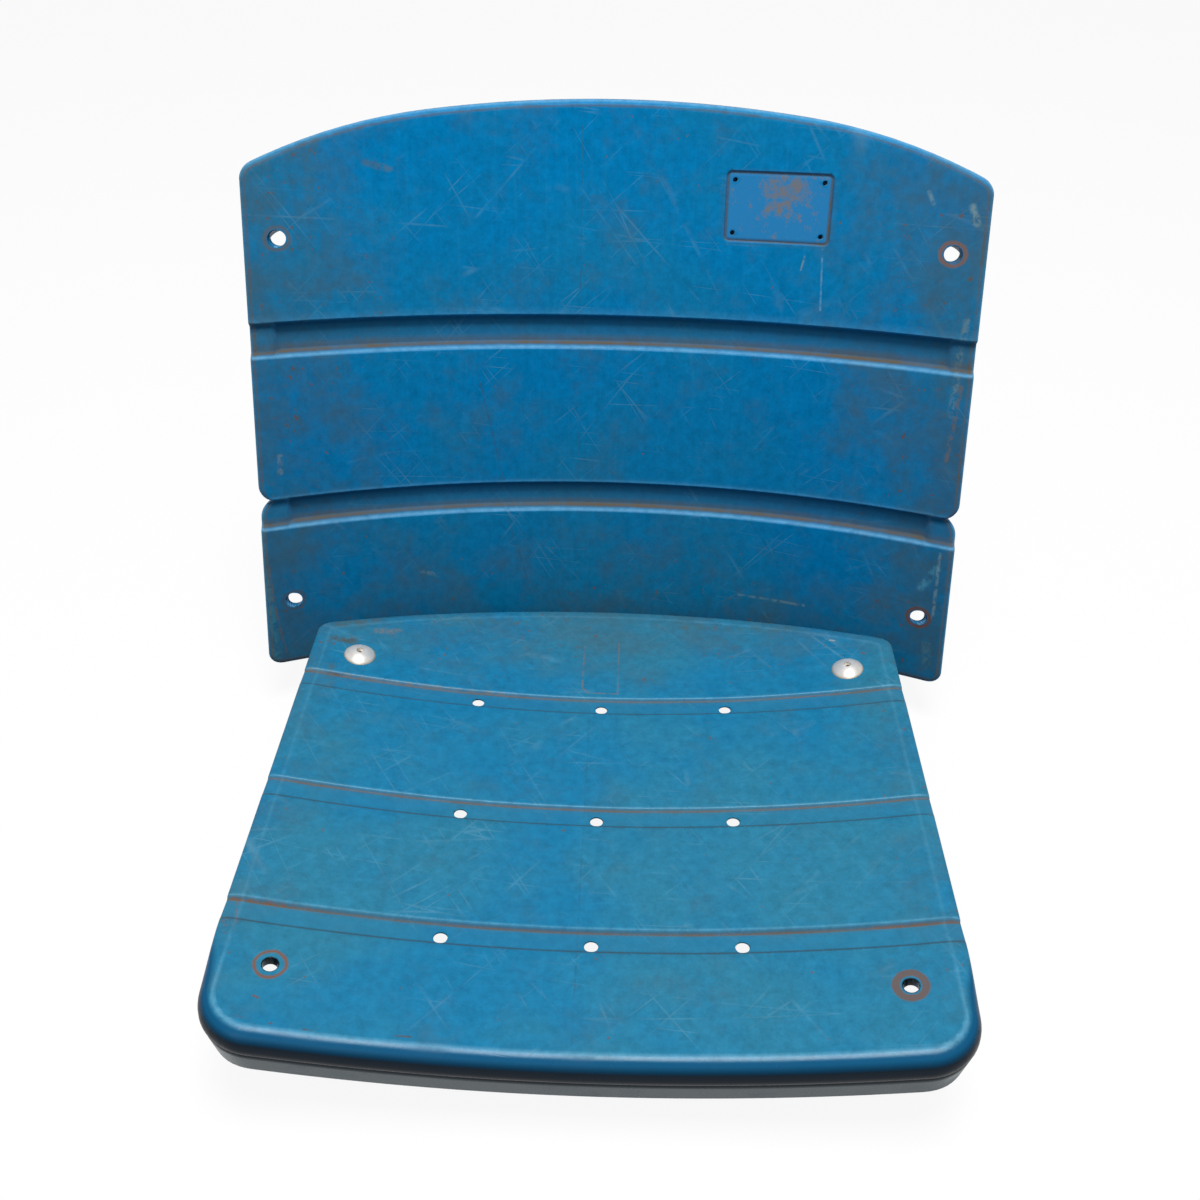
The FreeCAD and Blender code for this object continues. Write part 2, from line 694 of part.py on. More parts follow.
for name, side in SIDES:
    turn = math.asin(size["bolt_line"] / size["dish_radius"])
    flange = box(("-arm_flange / 2", "arm_flange / 2"), ("-arm_front - bolt_rear", "arm_tail - bolt_rear"),
                 ("-arm_steel", "0"))
    flange = on_dish(group(flange), side, "bolt_rear", "pinch")
    web_outer = size["lug_inner"] - size["web_gap"]
    low, high = sorted((side * (web_outer - size["arm_steel"]), side * web_outer))
    reach = size["dish_radius"] + size["pinch"]
    flange_top = reach - reach * math.cos(turn) - size["pinch"]
    inner_edge = (web_outer - size["arm_steel"] - reach * math.sin(turn)) * math.tan(turn)
    web_top = size["seat_level"] + flange_top + inner_edge
    web_low = size["seat_level"] - size["arm_deep"]
    slope = size["arm_slope"]
    web_corners = [
        (size["seat_row"] - size["arm_front"], web_top),
        (size["seat_row"] - size["arm_front"], web_low + slope),
        (size["seat_row"] - size["arm_front"] + slope, web_low),
        (size["seat_row"] + size["arm_tail"] - boss, web_low),
        (pivot_y, pivot_z - boss),
        (pivot_y, pivot_z + boss),
        (size["seat_row"] + size["arm_tail"], web_top),
    ]
    web = drawn("web", tangent_plate(low, high, web_corners, (pivot_y, pivot_z), boss))
    web_x = span(side, "lug_inner - web_gap - arm_steel", "lug_inner - web_gap")
    bush_hole = rod("pin_bore / 2 + running + bush_wall", "x", web_x[0], web_x[1], **pivot)
    bolt_hole = on_dish(group(rod("bolt_bore / 2", "z", "-past", "past")), side, "bolt_rear")
    node("seat_arm_" + name, cut(fuse(flange, web), bush_hole, bolt_hole))

    # Flanged bush in the web, and the pin with its clip
    bush_outer = rod("pin_bore / 2 + running + bush_wall", "x", web_x[0], web_x[1], **pivot)
    flange_x = span(side, "lug_inner - web_gap", "lug_inner - clip_gap")
    bush_rim = rod("pin_bore / 2 + running + bush_wall + bush_flange", "x", flange_x[0], flange_x[1],
                   **pivot)
    bush_x = span(side, "lug_inner - web_gap - arm_steel", "lug_inner - clip_gap")
    bush_eye = rod("pin_bore / 2 + running", "x", bush_x[0], bush_x[1], **pivot)
    node("pivot_bush_" + name, cut(fuse(bush_outer, bush_rim), bush_eye))
    head_near = "lug_inner - web_gap - arm_steel - clip_gap"
    clip_near = "lug_inner + steel + clip_gap"
    clip_far = clip_near + " + clip_thick"
    shank_x = span(side, head_near, clip_far + " + pin_tail")
    head_x = span(side, head_near + " - pin_head_high", head_near)
    clip_x = span(side, clip_near, clip_far)
    groove = cut(rod("pin_bore / 2", "x", clip_x[0], clip_x[1], **pivot),
                 rod("pin_bore / 2 - clip_thick", "x", clip_x[0], clip_x[1], **pivot))
    pin = cut(fuse(rod("pin_bore / 2", "x", shank_x[0], shank_x[1], **pivot),
                   rod("pin_head_wide / 2", "x", head_x[0], head_x[1], **pivot)), groove)
    node("pivot_pin_" + name, pin)
    clip = cut(rod("clip_wide / 2", "x", clip_x[0], clip_x[1], **pivot),
               rod("pin_bore / 2 - clip_thick", "x", clip_x[0], clip_x[1], **pivot),
               box(clip_x, (pivot["y"] + " - clip_mouth / 2", pivot["y"] + " + clip_mouth / 2"),
                   (pivot["z"] + " - clip_wide", pivot["z"])))
    node("pivot_clip_" + name, clip)


# Rear seat bolts with their washers and nuts

grip = "pinch + arm_steel"
nut_face = "%s + washer_thick" % grip
for name, side in SIDES:
    dome_radius = "(head_wide ^ 2 / 4 + head_high ^ 2) / (2 * head_high)"
    dome = doc.addObject("Part::Sphere", "dome")
    bind(dome, Radius=dome_radius)
    put(dome, z="head_high - %s" % dome_radius)
    head = common(dome, rod("head_wide / 2", "z", "0", "head_high"))
    recess = rod("head_recess / 2", "z", "head_high / 2", "head_high + past")
    shank = rod("bolt_size / 2", "z", "-(%s + nut_high + bolt_spare)" % nut_face, "0")
    # A flat head in a hollow dish bears on its rim, a hair above the dish's own surface.
    lift = "-(head_wide ^ 2) / (8 * dish_radius)"
    node("seat_bolt_" + name, on_dish(cut(fuse(head, shank), recess), side, "bolt_rear", lift))
    ring = cut(rod("washer_wide / 2", "z", "-(%s)" % nut_face, "-(%s)" % grip),
               rod("bolt_size / 2 + thread_play", "z", "-(%s)" % nut_face, "-(%s)" % grip))
    node("seat_washer_" + name, on_dish(ring, side, "bolt_rear"))
    nut = cut(hexagon("nut_flats", "z", "-(%s + nut_high)" % nut_face, "-(%s)" % nut_face),
              rod("bolt_size / 2 + thread_play", "z", "-(%s + nut_high)" % nut_face, "-(%s)" % nut_face))
    node("seat_nut_" + name, on_dish(nut, side, "bolt_rear"))


# Every object has to be sound before anything is written

doc.recompute()
for thing in doc.Objects:
    if "Invalid" in thing.State or "Error" in thing.State:
        raise RuntimeError("%s (%s) failed: %s" % (thing.Name, thing.Label, thing.State))

os.makedirs("parts", exist_ok=True)
for name, thing in nodes.items():
    shape = thing.Shape
    if shape.isNull() or not shape.isValid() or not shape.Solids:
        raise RuntimeError(name + " has no sound shape")

whole = FreeCAD.BoundBox()
for name, thing in nodes.items():
    shape = thing.Shape
    shape.exportStep("parts/%s.step" % name)
    whole.add(shape.BoundBox)
    print("%-22s %d solid, %9.1f mm3" % (name, len(shape.Solids), shape.Volume))
print("box x %.2f %.2f y %.2f %.2f z %.2f %.2f" % (whole.XMin, whole.XMax, whole.YMin, whole.YMax,
                                                  whole.ZMin, whole.ZMax))
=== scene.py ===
# %% [markdown]
# # A tip-up stadium seat in worn blue plastic
#
# The real seat has two hollow panels, blown from a tube of hot polyethylene inside a mould,
# and a pair of steel brackets under and behind them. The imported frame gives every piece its
# place and size. This lesson models the two panels again as fine meshes with soft moulded
# edges, and gives each piece a material that has aged outdoors.
#
# Seen from the front, X points to the right, Y to the rear and Z up, all in metres.

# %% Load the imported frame
import json
import math

import bmesh
import bpy
from mathutils import Matrix, Vector, noise


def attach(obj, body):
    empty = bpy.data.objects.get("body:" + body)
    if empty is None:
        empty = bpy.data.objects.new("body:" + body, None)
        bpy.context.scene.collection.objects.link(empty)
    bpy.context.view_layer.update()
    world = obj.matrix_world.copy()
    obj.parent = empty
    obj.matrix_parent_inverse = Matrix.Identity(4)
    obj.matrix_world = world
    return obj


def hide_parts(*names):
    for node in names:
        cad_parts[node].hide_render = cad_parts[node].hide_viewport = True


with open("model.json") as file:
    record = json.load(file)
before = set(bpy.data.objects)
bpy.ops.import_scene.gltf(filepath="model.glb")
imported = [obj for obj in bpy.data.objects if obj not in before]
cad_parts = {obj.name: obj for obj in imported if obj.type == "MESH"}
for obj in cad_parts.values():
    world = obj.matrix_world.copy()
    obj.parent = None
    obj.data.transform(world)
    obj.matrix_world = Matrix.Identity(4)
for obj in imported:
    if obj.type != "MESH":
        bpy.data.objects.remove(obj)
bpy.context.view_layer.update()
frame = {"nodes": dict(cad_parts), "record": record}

# %% [markdown]
# ## Units
#
# The panels are easiest to think of in millimetres, as on a drawing. Every length below is
# written in them, and one function turns them to the metres that Blender works in.

# %% Millimetres
def mm(value):
    return value / 1000


def ease(low, high, value):
    """0 below low, 1 above high, and a soft step between them."""
    part = min(max((value - low) / (high - low), 0), 1)
    return part * part * (3 - 2 * part)


def ridge(middle, half, value):
    """1 at the middle, fading to 0 half a width away."""
    return max(0, 1 - abs(value - middle) / half)


# %% [markdown]
# ## The photograph's camera
#
# The camera looks down on the seat from in front. Its place, its turn and its lens were found
# by fitting a pinhole camera to the drain holes, bolt heads and edges of the photographed seat.

# %% Camera
CAMERA_PLACE = (10.6, -619.05, 635.8)
CAMERA_DOWN = 37.053
CAMERA_YAW = -1.145
CAMERA_ROLL = 0.925
LENS = 37.0


def aim(down, yaw, roll):
    """A turn for a camera that looks along +Y, then down, to the side and rolled."""
    down, yaw, roll = (math.radians(angle) for angle in (down, yaw, roll))
    ahead = Vector((math.sin(yaw) * math.cos(down), math.cos(yaw) * math.cos(down), -math.sin(down)))
    level = Vector((math.cos(yaw), -math.sin(yaw), 0))
    upright = level.cross(ahead)
    right = math.cos(roll) * level + math.sin(roll) * upright
    up = right.cross(ahead)
    return Matrix((right, up, -ahead)).transposed().to_4x4()


camera = bpy.data.objects.new("camera", bpy.data.cameras.new("camera"))
bpy.context.collection.objects.link(camera)
camera.data.lens = LENS
camera.data.clip_start = 0.05
camera.matrix_world = Matrix.Translation([mm(v) for v in CAMERA_PLACE]) @ aim(
    CAMERA_DOWN, CAMERA_YAW, CAMERA_ROLL)
bpy.context.scene.camera = camera
print("camera at", camera.matrix_world.translation)

# %% [markdown]
# ## How a panel is modelled
#
# Both panels are bent slabs. It is simplest to model each one flat, as a drawing on a table,
# and to bend it last. The flat slab starts as one face with the panel's outline. Insets along
# that outline become the rounded rim. Straight cuts across it give the grooves and steps
# their rows of points. The sheet is then doubled, the two sheets are joined round the outline,
# and each point sinks to its depth by a plain rule for its place.
#
# Two numbers ride along on every point while the sheet is cut: how far round the rim it lies,
# and how far down the side wall. Blender keeps such numbers right through cuts, so the rules
# for depth can use them at the end.

# %% Outline, rim and cuts
def outline_face(sheet, corners):
    """One flat face through the corners, in millimetres on the drawing."""
    return sheet.faces.new([sheet.verts.new((x, y, 0)) for x, y in corners])


def round_corners(sheet, wanted, radius, segments):
    """Round the corner points that pass the test, by the length their arcs take up."""
    picked = [corner for corner in sheet.verts if wanted(corner.co)]
    bmesh.ops.bevel(sheet, geom=picked, offset=radius, offset_type="OFFSET", segments=segments,
                    profile=0.5, affect="VERTICES", material=-1)


def add_rim(sheet, rim, width, segments):
    """Inset the outline in small steps and note how far round the rim each ring lies."""
    for corner in sheet.verts:
        corner[rim] = 1
    face = max(sheet.faces, key=lambda candidate: candidate.calc_area())
    reached = 0
    for step in range(1, segments + 1):
        angle = math.pi / 2 * step / segments
        inset = width * (1 - math.cos(angle))
        bmesh.ops.inset_region(sheet, faces=[face], thickness=inset - reached, use_even_offset=True,
                               use_boundary=True)
        reached = inset
        for corner in face.verts:
            corner[rim] = 1 - math.sin(angle)


def stations(low, high, spacing, fine):
    """Where to cut: even places with the fine ones among them, none closer than a hair."""
    count = round((high - low) / spacing)
    even = [low + (high - low) * i / count for i in range(1, count)]
    kept = sorted(place for place in fine if low < place < high)
    crowd = spacing / 4
    kept += [place for place in even if all(abs(place - other) > crowd for other in kept)]
    return sorted(kept)


def slice_sheet(sheet, axis, places):
    normal = Vector((0, 0, 0))
    normal[axis] = 1
    for place in places:
        everything = sheet.verts[:] + sheet.edges[:] + sheet.faces[:]
        bmesh.ops.bisect_plane(sheet, geom=everything, dist=0.0001, plane_co=normal * place,
                               plane_no=normal)


def close_slab(sheet, down, wall_rows):
    """Double the sheet and join the two round the outline with a wall."""
    double = bmesh.ops.duplicate(sheet, geom=sheet.verts[:] + sheet.edges[:] + sheet.faces[:])["geom"]
    lower = [item for item in double if isinstance(item, bmesh.types.BMFace)]
    bmesh.ops.reverse_faces(sheet, faces=lower)
    for face in lower:
        for corner in face.verts:
            corner[down] = 1
    open_edges = [edge for edge in sheet.edges if edge.is_boundary]
    wall = bmesh.ops.bridge_loops(sheet, edges=open_edges)
    uprights = [edge for edge in wall["edges"] if edge.verts[0][down] != edge.verts[1][down]]
    bmesh.ops.subdivide_edges(sheet, edges=uprights, cuts=wall_rows, use_grid_fill=True)


# %% [markdown]
# ## Ripples
#
# A blown wall cools unevenly, and its surface is never quite flat. Low waves a few tenths of
# a millimetre high, as long as a hand is wide, make the gloss wander over it. They belong in
# the mesh, because a reflection shows them before any colour does.

# %% Ripples in the blown wall
RIPPLE_HIGH = 0.22
RIPPLE_LONG = 62


def ripple(x, y, seed):
    place = Vector((x / RIPPLE_LONG, y / RIPPLE_LONG, seed))
    return RIPPLE_HIGH * noise.fractal(place, 0.6, 2.0, 2)


# %% [markdown]
# ## The seat panel's sizes
#
# The seat is a dish, hollow from side to side, with a deep rounded nose. Three drained grooves
# cross it. Each has a steep wall at its rear and rises slowly to the front, so that rain
# runs back to the holes.

# %% Sizes of the seat panel
SEAT_ROW = -87.65
SEAT_LEVEL = 62
SEAT_HALF = 206
SEAT_FRONT = 172
SEAT_BEHIND = 216
DISH_RADIUS = 1004
TAIL_RADIUS = 450
SEAT_THICK = 26
NOSE_DEEP = 32
NOSE_LONG = 45
NOSE_SLOPE = 5
FRONT_CORNER = 30
TAIL_CORNER = 7.5
SEAT_RIM = 11
NOSE_DROP = 12
SIDE_DROP = 3
NOSE_FADE = (18, 70)
SEAT_FOOT = 1.5
WALL_ROWS = 15
WALL_LEAN = 4
LEAN_REACH = 22
PARTING = 2 / 16
PARTING_DEEP = 0.7
DRAIN_ROWS = (103.6, 0, -94.2)
DRAIN_PITCH = 85
DRAIN_BORE = 8
DRAIN_WEB = 1
DRAIN_RELIEF = 14
DRAIN_SPREAD = 28
DRAIN_REARWARD = 0.95
DRAIN_ASIDE = 0.15
SEAT_GROOVE_WIDE = 16
SEAT_GROOVE_LEAD = 11.5
SEAT_GROOVE_DEEP = (2.3, 2.1, 2.9)
SEAT_GROOVE_SHALLOW = 0.55
SEAT_GROOVE_WALL = 1.7
SEAT_GROOVE_LIP = 1.1
BOLT_LINE = 172
BOLT_REAR = 136.7
BOLT_FRONT = -124.8
BOLT_BORE = 8.6
CHANNEL_WIDE = 34
CHANNEL_FRONT = 146
CHANNEL_WALL = 1.2
PINCH = 6
print("seat %d mm wide and %d mm deep" % (2 * SEAT_HALF, SEAT_FRONT + SEAT_BEHIND))


# %% Depth of the seat at each place
def groove_depth(y):
    """Depth of the drained grooves below the dish at a distance from the middle row."""
    total = 0
    for row, deep in zip(DRAIN_ROWS, SEAT_GROOVE_DEEP):
        rear = row + SEAT_GROOVE_LEAD
        front = rear - SEAT_GROOVE_WIDE
        floor = deep + (SEAT_GROOVE_SHALLOW - deep) * min(max((rear - y) / SEAT_GROOVE_WIDE, 0), 1)
        wall = 1 - ease(rear - SEAT_GROOVE_WALL, rear, y)
        lip = ease(front - SEAT_GROOVE_LIP / 2, front + SEAT_GROOVE_LIP / 2, y)
        total += floor * wall * lip
    return total


def on_nose(y):
    """1 along the nose, fading to 0 a little way up the sides."""
    full, gone = NOSE_FADE
    return 1 - ease(-SEAT_FRONT + full, -SEAT_FRONT + gone, y)


def seat_top(x, y, rim):
    faded = groove_depth(y) * (1 - 0.5 * rim)
    drop = SIDE_DROP + (NOSE_DROP - SIDE_DROP) * on_nose(y)
    return faded + drop * rim + ripple(x, y, 0) * (1 - rim)


def seat_bottom(x, y, rim):
    nose_back = -SEAT_FRONT + NOSE_LONG
    nose = 1 - ease(nose_back - NOSE_SLOPE / 2, nose_back + NOSE_SLOPE / 2, y)
    thick = SEAT_THICK + (NOSE_DEEP - SEAT_THICK) * nose
    across = abs(abs(x) - BOLT_LINE)
    inside = 1 - ease(CHANNEL_WIDE / 2 - CHANNEL_WALL, CHANNEL_WIDE / 2, across)
    inside *= ease(-CHANNEL_FRONT, -CHANNEL_FRONT + CHANNEL_WALL, y)
    thick += (PINCH - thick) * inside
    return thick - SEAT_FOOT * rim * (1 - inside)


# %% [markdown]
# ## Cutting the seat sheet
#
# The tail is a shallow arc. The rear edge is divided into short chords first and each point
# is lifted onto the arc, so that the corners and the rim can follow it.

# %% Flat sheet for the seat
def tail_line(x):
    return SEAT_BEHIND - TAIL_RADIUS + math.sqrt(TAIL_RADIUS ** 2 - x ** 2)


def around(place, offsets):
    return [place + offset for offset in offsets]


def seat_sheet():
    sheet = bmesh.new()
    rim = sheet.verts.layers.float.new("rim")
    down = sheet.verts.layers.float.new("down")
    tail = tail_line(SEAT_HALF)
    outline_face(sheet, [(-SEAT_HALF, -SEAT_FRONT), (SEAT_HALF, -SEAT_FRONT),
                         (SEAT_HALF, tail), (-SEAT_HALF, tail)])
    rear = [edge for edge in sheet.edges if min(corner.co.y for corner in edge.verts) > 0]
    bmesh.ops.subdivide_edges(sheet, edges=rear, cuts=30)
    for corner in sheet.verts:
        if corner.co.y > 0:
            corner.co.y = tail_line(corner.co.x)
    round_corners(sheet, lambda co: abs(co.x) > SEAT_HALF - 1 and co.y < 0, FRONT_CORNER, 14)
    round_corners(sheet, lambda co: abs(co.x) > SEAT_HALF - 1 and co.y > 0, TAIL_CORNER, 6)
    add_rim(sheet, rim, SEAT_RIM, 8)

    rows = around(-SEAT_FRONT + NOSE_LONG, (-2.5, -1.2, 0, 1.2, 2.5))
    rows += [-CHANNEL_FRONT, -CHANNEL_FRONT + CHANNEL_WALL]
    for drain_row in DRAIN_ROWS:
        groove_rear = drain_row + SEAT_GROOVE_LEAD
        rows += around(groove_rear, (-3, -2.2, -1.7, -1.3, -0.85, -0.4, 0, 0.5, 1.5))
        rows += around(groove_rear - SEAT_GROOVE_WIDE, (-1.3, -0.6, -0.25, 0, 0.25, 0.6, 1.3))
    slice_sheet(sheet, 1, stations(-SEAT_FRONT, SEAT_BEHIND, 4, rows))
    columns = []
    for side in (-1, 1):
        for offset in (CHANNEL_WIDE / 2, CHANNEL_WIDE / 2 - CHANNEL_WALL):
            columns += around(side * BOLT_LINE, (-offset, offset))
    slice_sheet(sheet, 0, stations(-SEAT_HALF, SEAT_HALF, 4, columns))
    close_slab(sheet, down, WALL_ROWS)
    return sheet, rim, down


seat_flat, seat_rim, seat_down = seat_sheet()
print("seat sheet:", len(seat_flat.verts), "points")

# %% [markdown]
# ## Bending a flat slab
#
# A slab is bent round a drum. A point keeps its place across the panel and takes its height
# from the circle that lies its depth below the surface, so side walls stay upright, as the
# mould's halves leave them.

# %% Sink and bend
def sink(sheet, rim, down, top, bottom):
    """Give each point its depth, mixing the two faces' rules down the side wall."""
    for corner in sheet.verts:
        x, y = corner.co.x, corner.co.y
        share = corner[down]
        depth = 0
        if share < 1:
            depth += (1 - share) * top(x, y, corner[rim])
        if share > 0:
            depth += share * bottom(x, y, corner[rim])
        corner.co.z = -depth


def dish_height(x, depth):
    return DISH_RADIUS - math.sqrt((DISH_RADIUS + depth) ** 2 - x ** 2)


def bend_seat(sheet):
    for corner in sheet.verts:
        corner.co.z = dish_height(corner.co.x, -corner.co.z)
    bmesh.ops.translate(sheet, verts=sheet.verts, vec=(0, SEAT_ROW, SEAT_LEVEL))
    bmesh.ops.scale(sheet, verts=sheet.verts, vec=(mm(1), mm(1), mm(1)))


def lean_wall(sheet):
    """Draw the seat in towards its foot, as a mould's sides lean so that it can open."""
    for corner in sheet.verts:
        lean = WALL_LEAN * min(max((-corner.co.z - NOSE_DROP) / (NOSE_DEEP - NOSE_DROP), 0), 1)
        near_side = ease(SEAT_HALF - LEAN_REACH, SEAT_HALF, abs(corner.co.x))
        near_front = 1 - ease(-SEAT_FRONT, -SEAT_FRONT + LEAN_REACH, corner.co.y)
        corner.co.x -= math.copysign(lean * near_side, corner.co.x)
        corner.co.y += lean * near_front


def crease_wall(sheet, down, rows, share, deep):
    """A fine crease along the parting line, where the mould's two halves met."""
    sheet.normal_update()
    for corner in sheet.verts:
        if 0 < corner[down] < 1:
            inward = -corner.normal
            inward.z = 0
            corner.co += inward * deep * ridge(share, 1.5 / (rows + 1), corner[down])


sink(seat_flat, seat_rim, seat_down, seat_top, seat_bottom)
print("deepest point %.1f mm" % -min(corner.co.z for corner in seat_flat.verts))


# %% [markdown]
# ## Marks that follow the panel
#
# Dirt settles at the foot of each step, and hands and weather polish the edges. These marks,
# the painted highlights on rims and lips and the painted shade on the back follow the drawing of
# the panel, so they are noted on its points while it is flat, each from 0 to 1: dirt, edges paler
# from wear and painted highlight, soil with painted shade low on the back, groove floors, shaded
# lines, the plate's place and the nose, whose rounded edge gets painted shade. The flat drawing is
# kept too, as a UV map in metres. The materials read both and never need to know that the panel
# was bent.

# %% Notes for the materials
SOIL_SIDES = (45, 5)
SOIL_BEHIND = (110, 30)


def note(sheet, rules):
    """Write each rule's value on every point, under the rule's name."""
    for name, rule in rules.items():
        layer = sheet.verts.layers.float.new(name)
        for corner in sheet.verts:
            corner[layer] = min(max(rule(corner), 0), 1)


def keep_plan(sheet):
    plan = sheet.loops.layers.uv.new("plan")
    for face in sheet.faces:
        for loop in face.loops:
            loop[plan].uv = (mm(loop.vert.co.x), mm(loop.vert.co.y))


def seat_dirt(corner):
    """A dirt line at the foot of each groove's rear wall, and a faint one at its front."""
    if corner[seat_down] > 0:
        return 0
    total = 0
    for row in DRAIN_ROWS:
        rear = row + SEAT_GROOVE_LEAD
        total += ridge(rear - 1.8, 1.3, corner.co.y)
        total += 0.3 * ridge(rear - SEAT_GROOVE_WIDE, 1.1, corner.co.y)
    return total


def seat_wear_and_highlight(corner):
    """Groove lips paler from wear and a painted highlight, and a painted highlight where the rim starts, most
    at the nose.
    """
    if corner[seat_down] > 0:
        return 0
    lips = sum(ridge(row + SEAT_GROOVE_LEAD, 1.0, corner.co.y) for row in DRAIN_ROWS)
    inward = 1 - math.sqrt(1 - (1 - corner[seat_rim]) ** 2)
    # Painted highlight along the start of the rounded rim, strongest on the nose.
    rim_highlight = (0.2 + 0.5 * on_nose(corner.co.y)) * ridge(0.84, 0.16, inward)
    return 0.5 * lips + rim_highlight * (corner[seat_rim] > 0)


def seat_soil(corner):
    """Soil gathers along the sides and most of all behind, where nobody sits."""
    sides = 0.6 * ease(SEAT_HALF - SOIL_SIDES[0], SEAT_HALF - SOIL_SIDES[1], abs(corner.co.x))
    behind = ease(SEAT_BEHIND - SOIL_BEHIND[0], SEAT_BEHIND - SOIL_BEHIND[1], corner.co.y)
    return max(sides, behind)


def seat_sink(corner):
    """1 on the floors of the grooves."""
    return min(groove_depth(corner.co.y), 1) * (corner[seat_down] == 0)


def seat_shade(corner):
    """The dark line at the front of each groove."""
    lead = SEAT_GROOVE_LEAD - SEAT_GROOVE_WIDE
    fronts = sum(ridge(row + lead, 1.4, corner.co.y) for row in DRAIN_ROWS)
    return fronts * (corner[seat_down] == 0)


def seat_nose(corner):
    """0 on the top, growing over the nose's rounded edge to 1 at the parting line and below it."""
    if corner[seat_down] == 1:
        return 0
    return on_nose(corner.co.y) * (corner[seat_rim] ** 0.8 if corner[seat_down] == 0 else 1)


note(seat_flat, {"dirt": seat_dirt, "edge": seat_wear_and_highlight, "soil": seat_soil, "hollow": seat_sink,
                 "shade": seat_shade, "plate": lambda corner: 0, "nose": seat_nose})
keep_plan(seat_flat)
print("notes on the seat:", [layer.name for layer in seat_flat.verts.layers.float.values()])


# %% Object from a mesh
def piece_from(sheet, name, body):
    """Turn a finished bmesh into a smooth object that rides on a body."""
    sheet.normal_update()
    mesh = bpy.data.meshes.new(name)
    sheet.to_mesh(mesh)
    sheet.free()
    mesh.shade_smooth()
    mesh.set_sharp_from_angle(angle=math.radians(40))
    piece = bpy.data.objects.new(name, mesh)
    bpy.context.collection.objects.link(piece)
    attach(piece, body)
    return piece


# %% [markdown]
# ## Holes
#
# The drain and bolt holes were drilled after moulding. A drill leaves a round wall with
# a slightly softened mouth, so each cutter is a spun shape that flares where it meets the
# surface. The Boolean modifier cuts all of them in one go, and its result is kept.

# %% Spun cutters
def spun(profile, steps=48):
    """A closed solid from a profile of radius and height, turned about Z."""
    solid = bmesh.new()
    corners = [solid.verts.new((radius, 0, height)) for radius, height in profile]
    edges = [solid.edges.new(pair) for pair in zip(corners, corners[1:])]
    bmesh.ops.spin(solid, geom=corners + edges, cent=(0, 0, 0), axis=(0, 0, 1), angle=2 * math.pi,
                   steps=steps, use_merge=True, use_duplicate=False)
    bmesh.ops.remove_doubles(solid, verts=solid.verts, dist=0.0001)
    bmesh.ops.recalc_face_normals(solid, faces=solid.faces)
    return solid


def drill(radius, low, mouth, high, lip=0.5):
    """A drill's profile: a straight shank up to the mouth, a small flare, and a wide top."""
    flare = []
    for step in range(5):
        angle = math.pi / 2 * step / 4
        flare.append((radius + lip * (1 - math.cos(angle)), mouth - lip + lip * math.sin(angle)))
    return [(0, low), (radius, low)] + flare + [(radius + lip, high), (0, high)]


def place_cutter(cutters, solid, place, turn=Matrix()):
    solid.transform(Matrix.Translation(place) @ turn)
    solid.transform(Matrix.Diagonal((mm(1), mm(1), mm(1), 1)))
    mesh = bpy.data.meshes.new("cutter")
    solid.to_mesh(mesh)
    cutters.from_mesh(mesh)
    bpy.data.meshes.remove(mesh)
    solid.free()


def drill_all(piece, cutters):
    """Subtract the cutters and keep the result as the piece's own mesh."""
    mesh = bpy.data.meshes.new("cutters")
    cutters.to_mesh(mesh)
    cutters.free()
    tool = bpy.data.objects.new("cutters", mesh)
    bpy.context.collection.objects.link(tool)
    modifier = piece.modifiers.new("drill", "BOOLEAN")
    modifier.object = tool
    modifier.solver = "EXACT"
    bpy.context.view_layer.update()
    drilled = bpy.data.meshes.new_from_object(piece.evaluated_get(bpy.context.evaluated_depsgraph_get()))
    piece.modifiers.clear()
    piece.data = drilled
    bpy.data.objects.remove(tool)
    drilled.set_sharp_from_angle(angle=math.radians(40))
    print(piece.name, "has", len(drilled.polygons), "faces")


# %% The seat panel
def seat_cutters():
    """The reliefs under the drains, and the holes themselves."""
    reliefs = bmesh.new()
    cutters = bmesh.new()
    for row, deep in zip(DRAIN_ROWS, SEAT_GROOVE_DEEP):
        for column in (-1, 0, 1):
            x = column * DRAIN_PITCH
            top = dish_height(x, 0)
            floor = top - groove_depth(row)
            hole = spun(drill(DRAIN_BORE / 2, floor - 3, floor, top + 10, 0.35))
            place_cutter(cutters, hole, (x, SEAT_ROW + row, SEAT_LEVEL))
            relief = spun([(0, -SEAT_THICK), (DRAIN_SPREAD / 2, -SEAT_THICK), (DRAIN_RELIEF / 2, -0.8),
                           (DRAIN_RELIEF / 2 - 0.8, 0), (DRAIN_BORE / 2, 0), (0, 0)])
            for corner in relief.verts:
                across, along, height = corner.co
                along = min(max(along, -DRAIN_BORE), DRAIN_BORE)
                slope = dish_height(x + across, 0) - top - groove_depth(row + along) + groove_depth(row)
                corner.co.x -= DRAIN_ASIDE * column * height
                corner.co.y -= DRAIN_REARWARD * height
                corner.co.z += slope
            place_cutter(reliefs, relief, (x, SEAT_ROW + row, SEAT_LEVEL + floor - DRAIN_WEB))
    for side in (-1, 1):
        for along in (BOLT_REAR, BOLT_FRONT):
            tilt = math.asin(BOLT_LINE / DISH_RADIUS)
            hole = spun(drill(BOLT_BORE / 2, -20, 0, 10, 0.4))
            place = (side * BOLT_LINE, SEAT_ROW + along, SEAT_LEVEL + dish_height(BOLT_LINE, 0))
            place_cutter(cutters, hole, place, Matrix.Rotation(-side * tilt, 4, "Y"))
    return reliefs, cutters


lean_wall(seat_flat)
crease_wall(seat_flat, seat_down, WALL_ROWS, PARTING, PARTING_DEEP)
bend_seat(seat_flat)
seat_shell = piece_from(seat_flat, "seat_shell", "seat")
for cutters in seat_cutters():
    drill_all(seat_shell, cutters)
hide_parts("seat_panel")

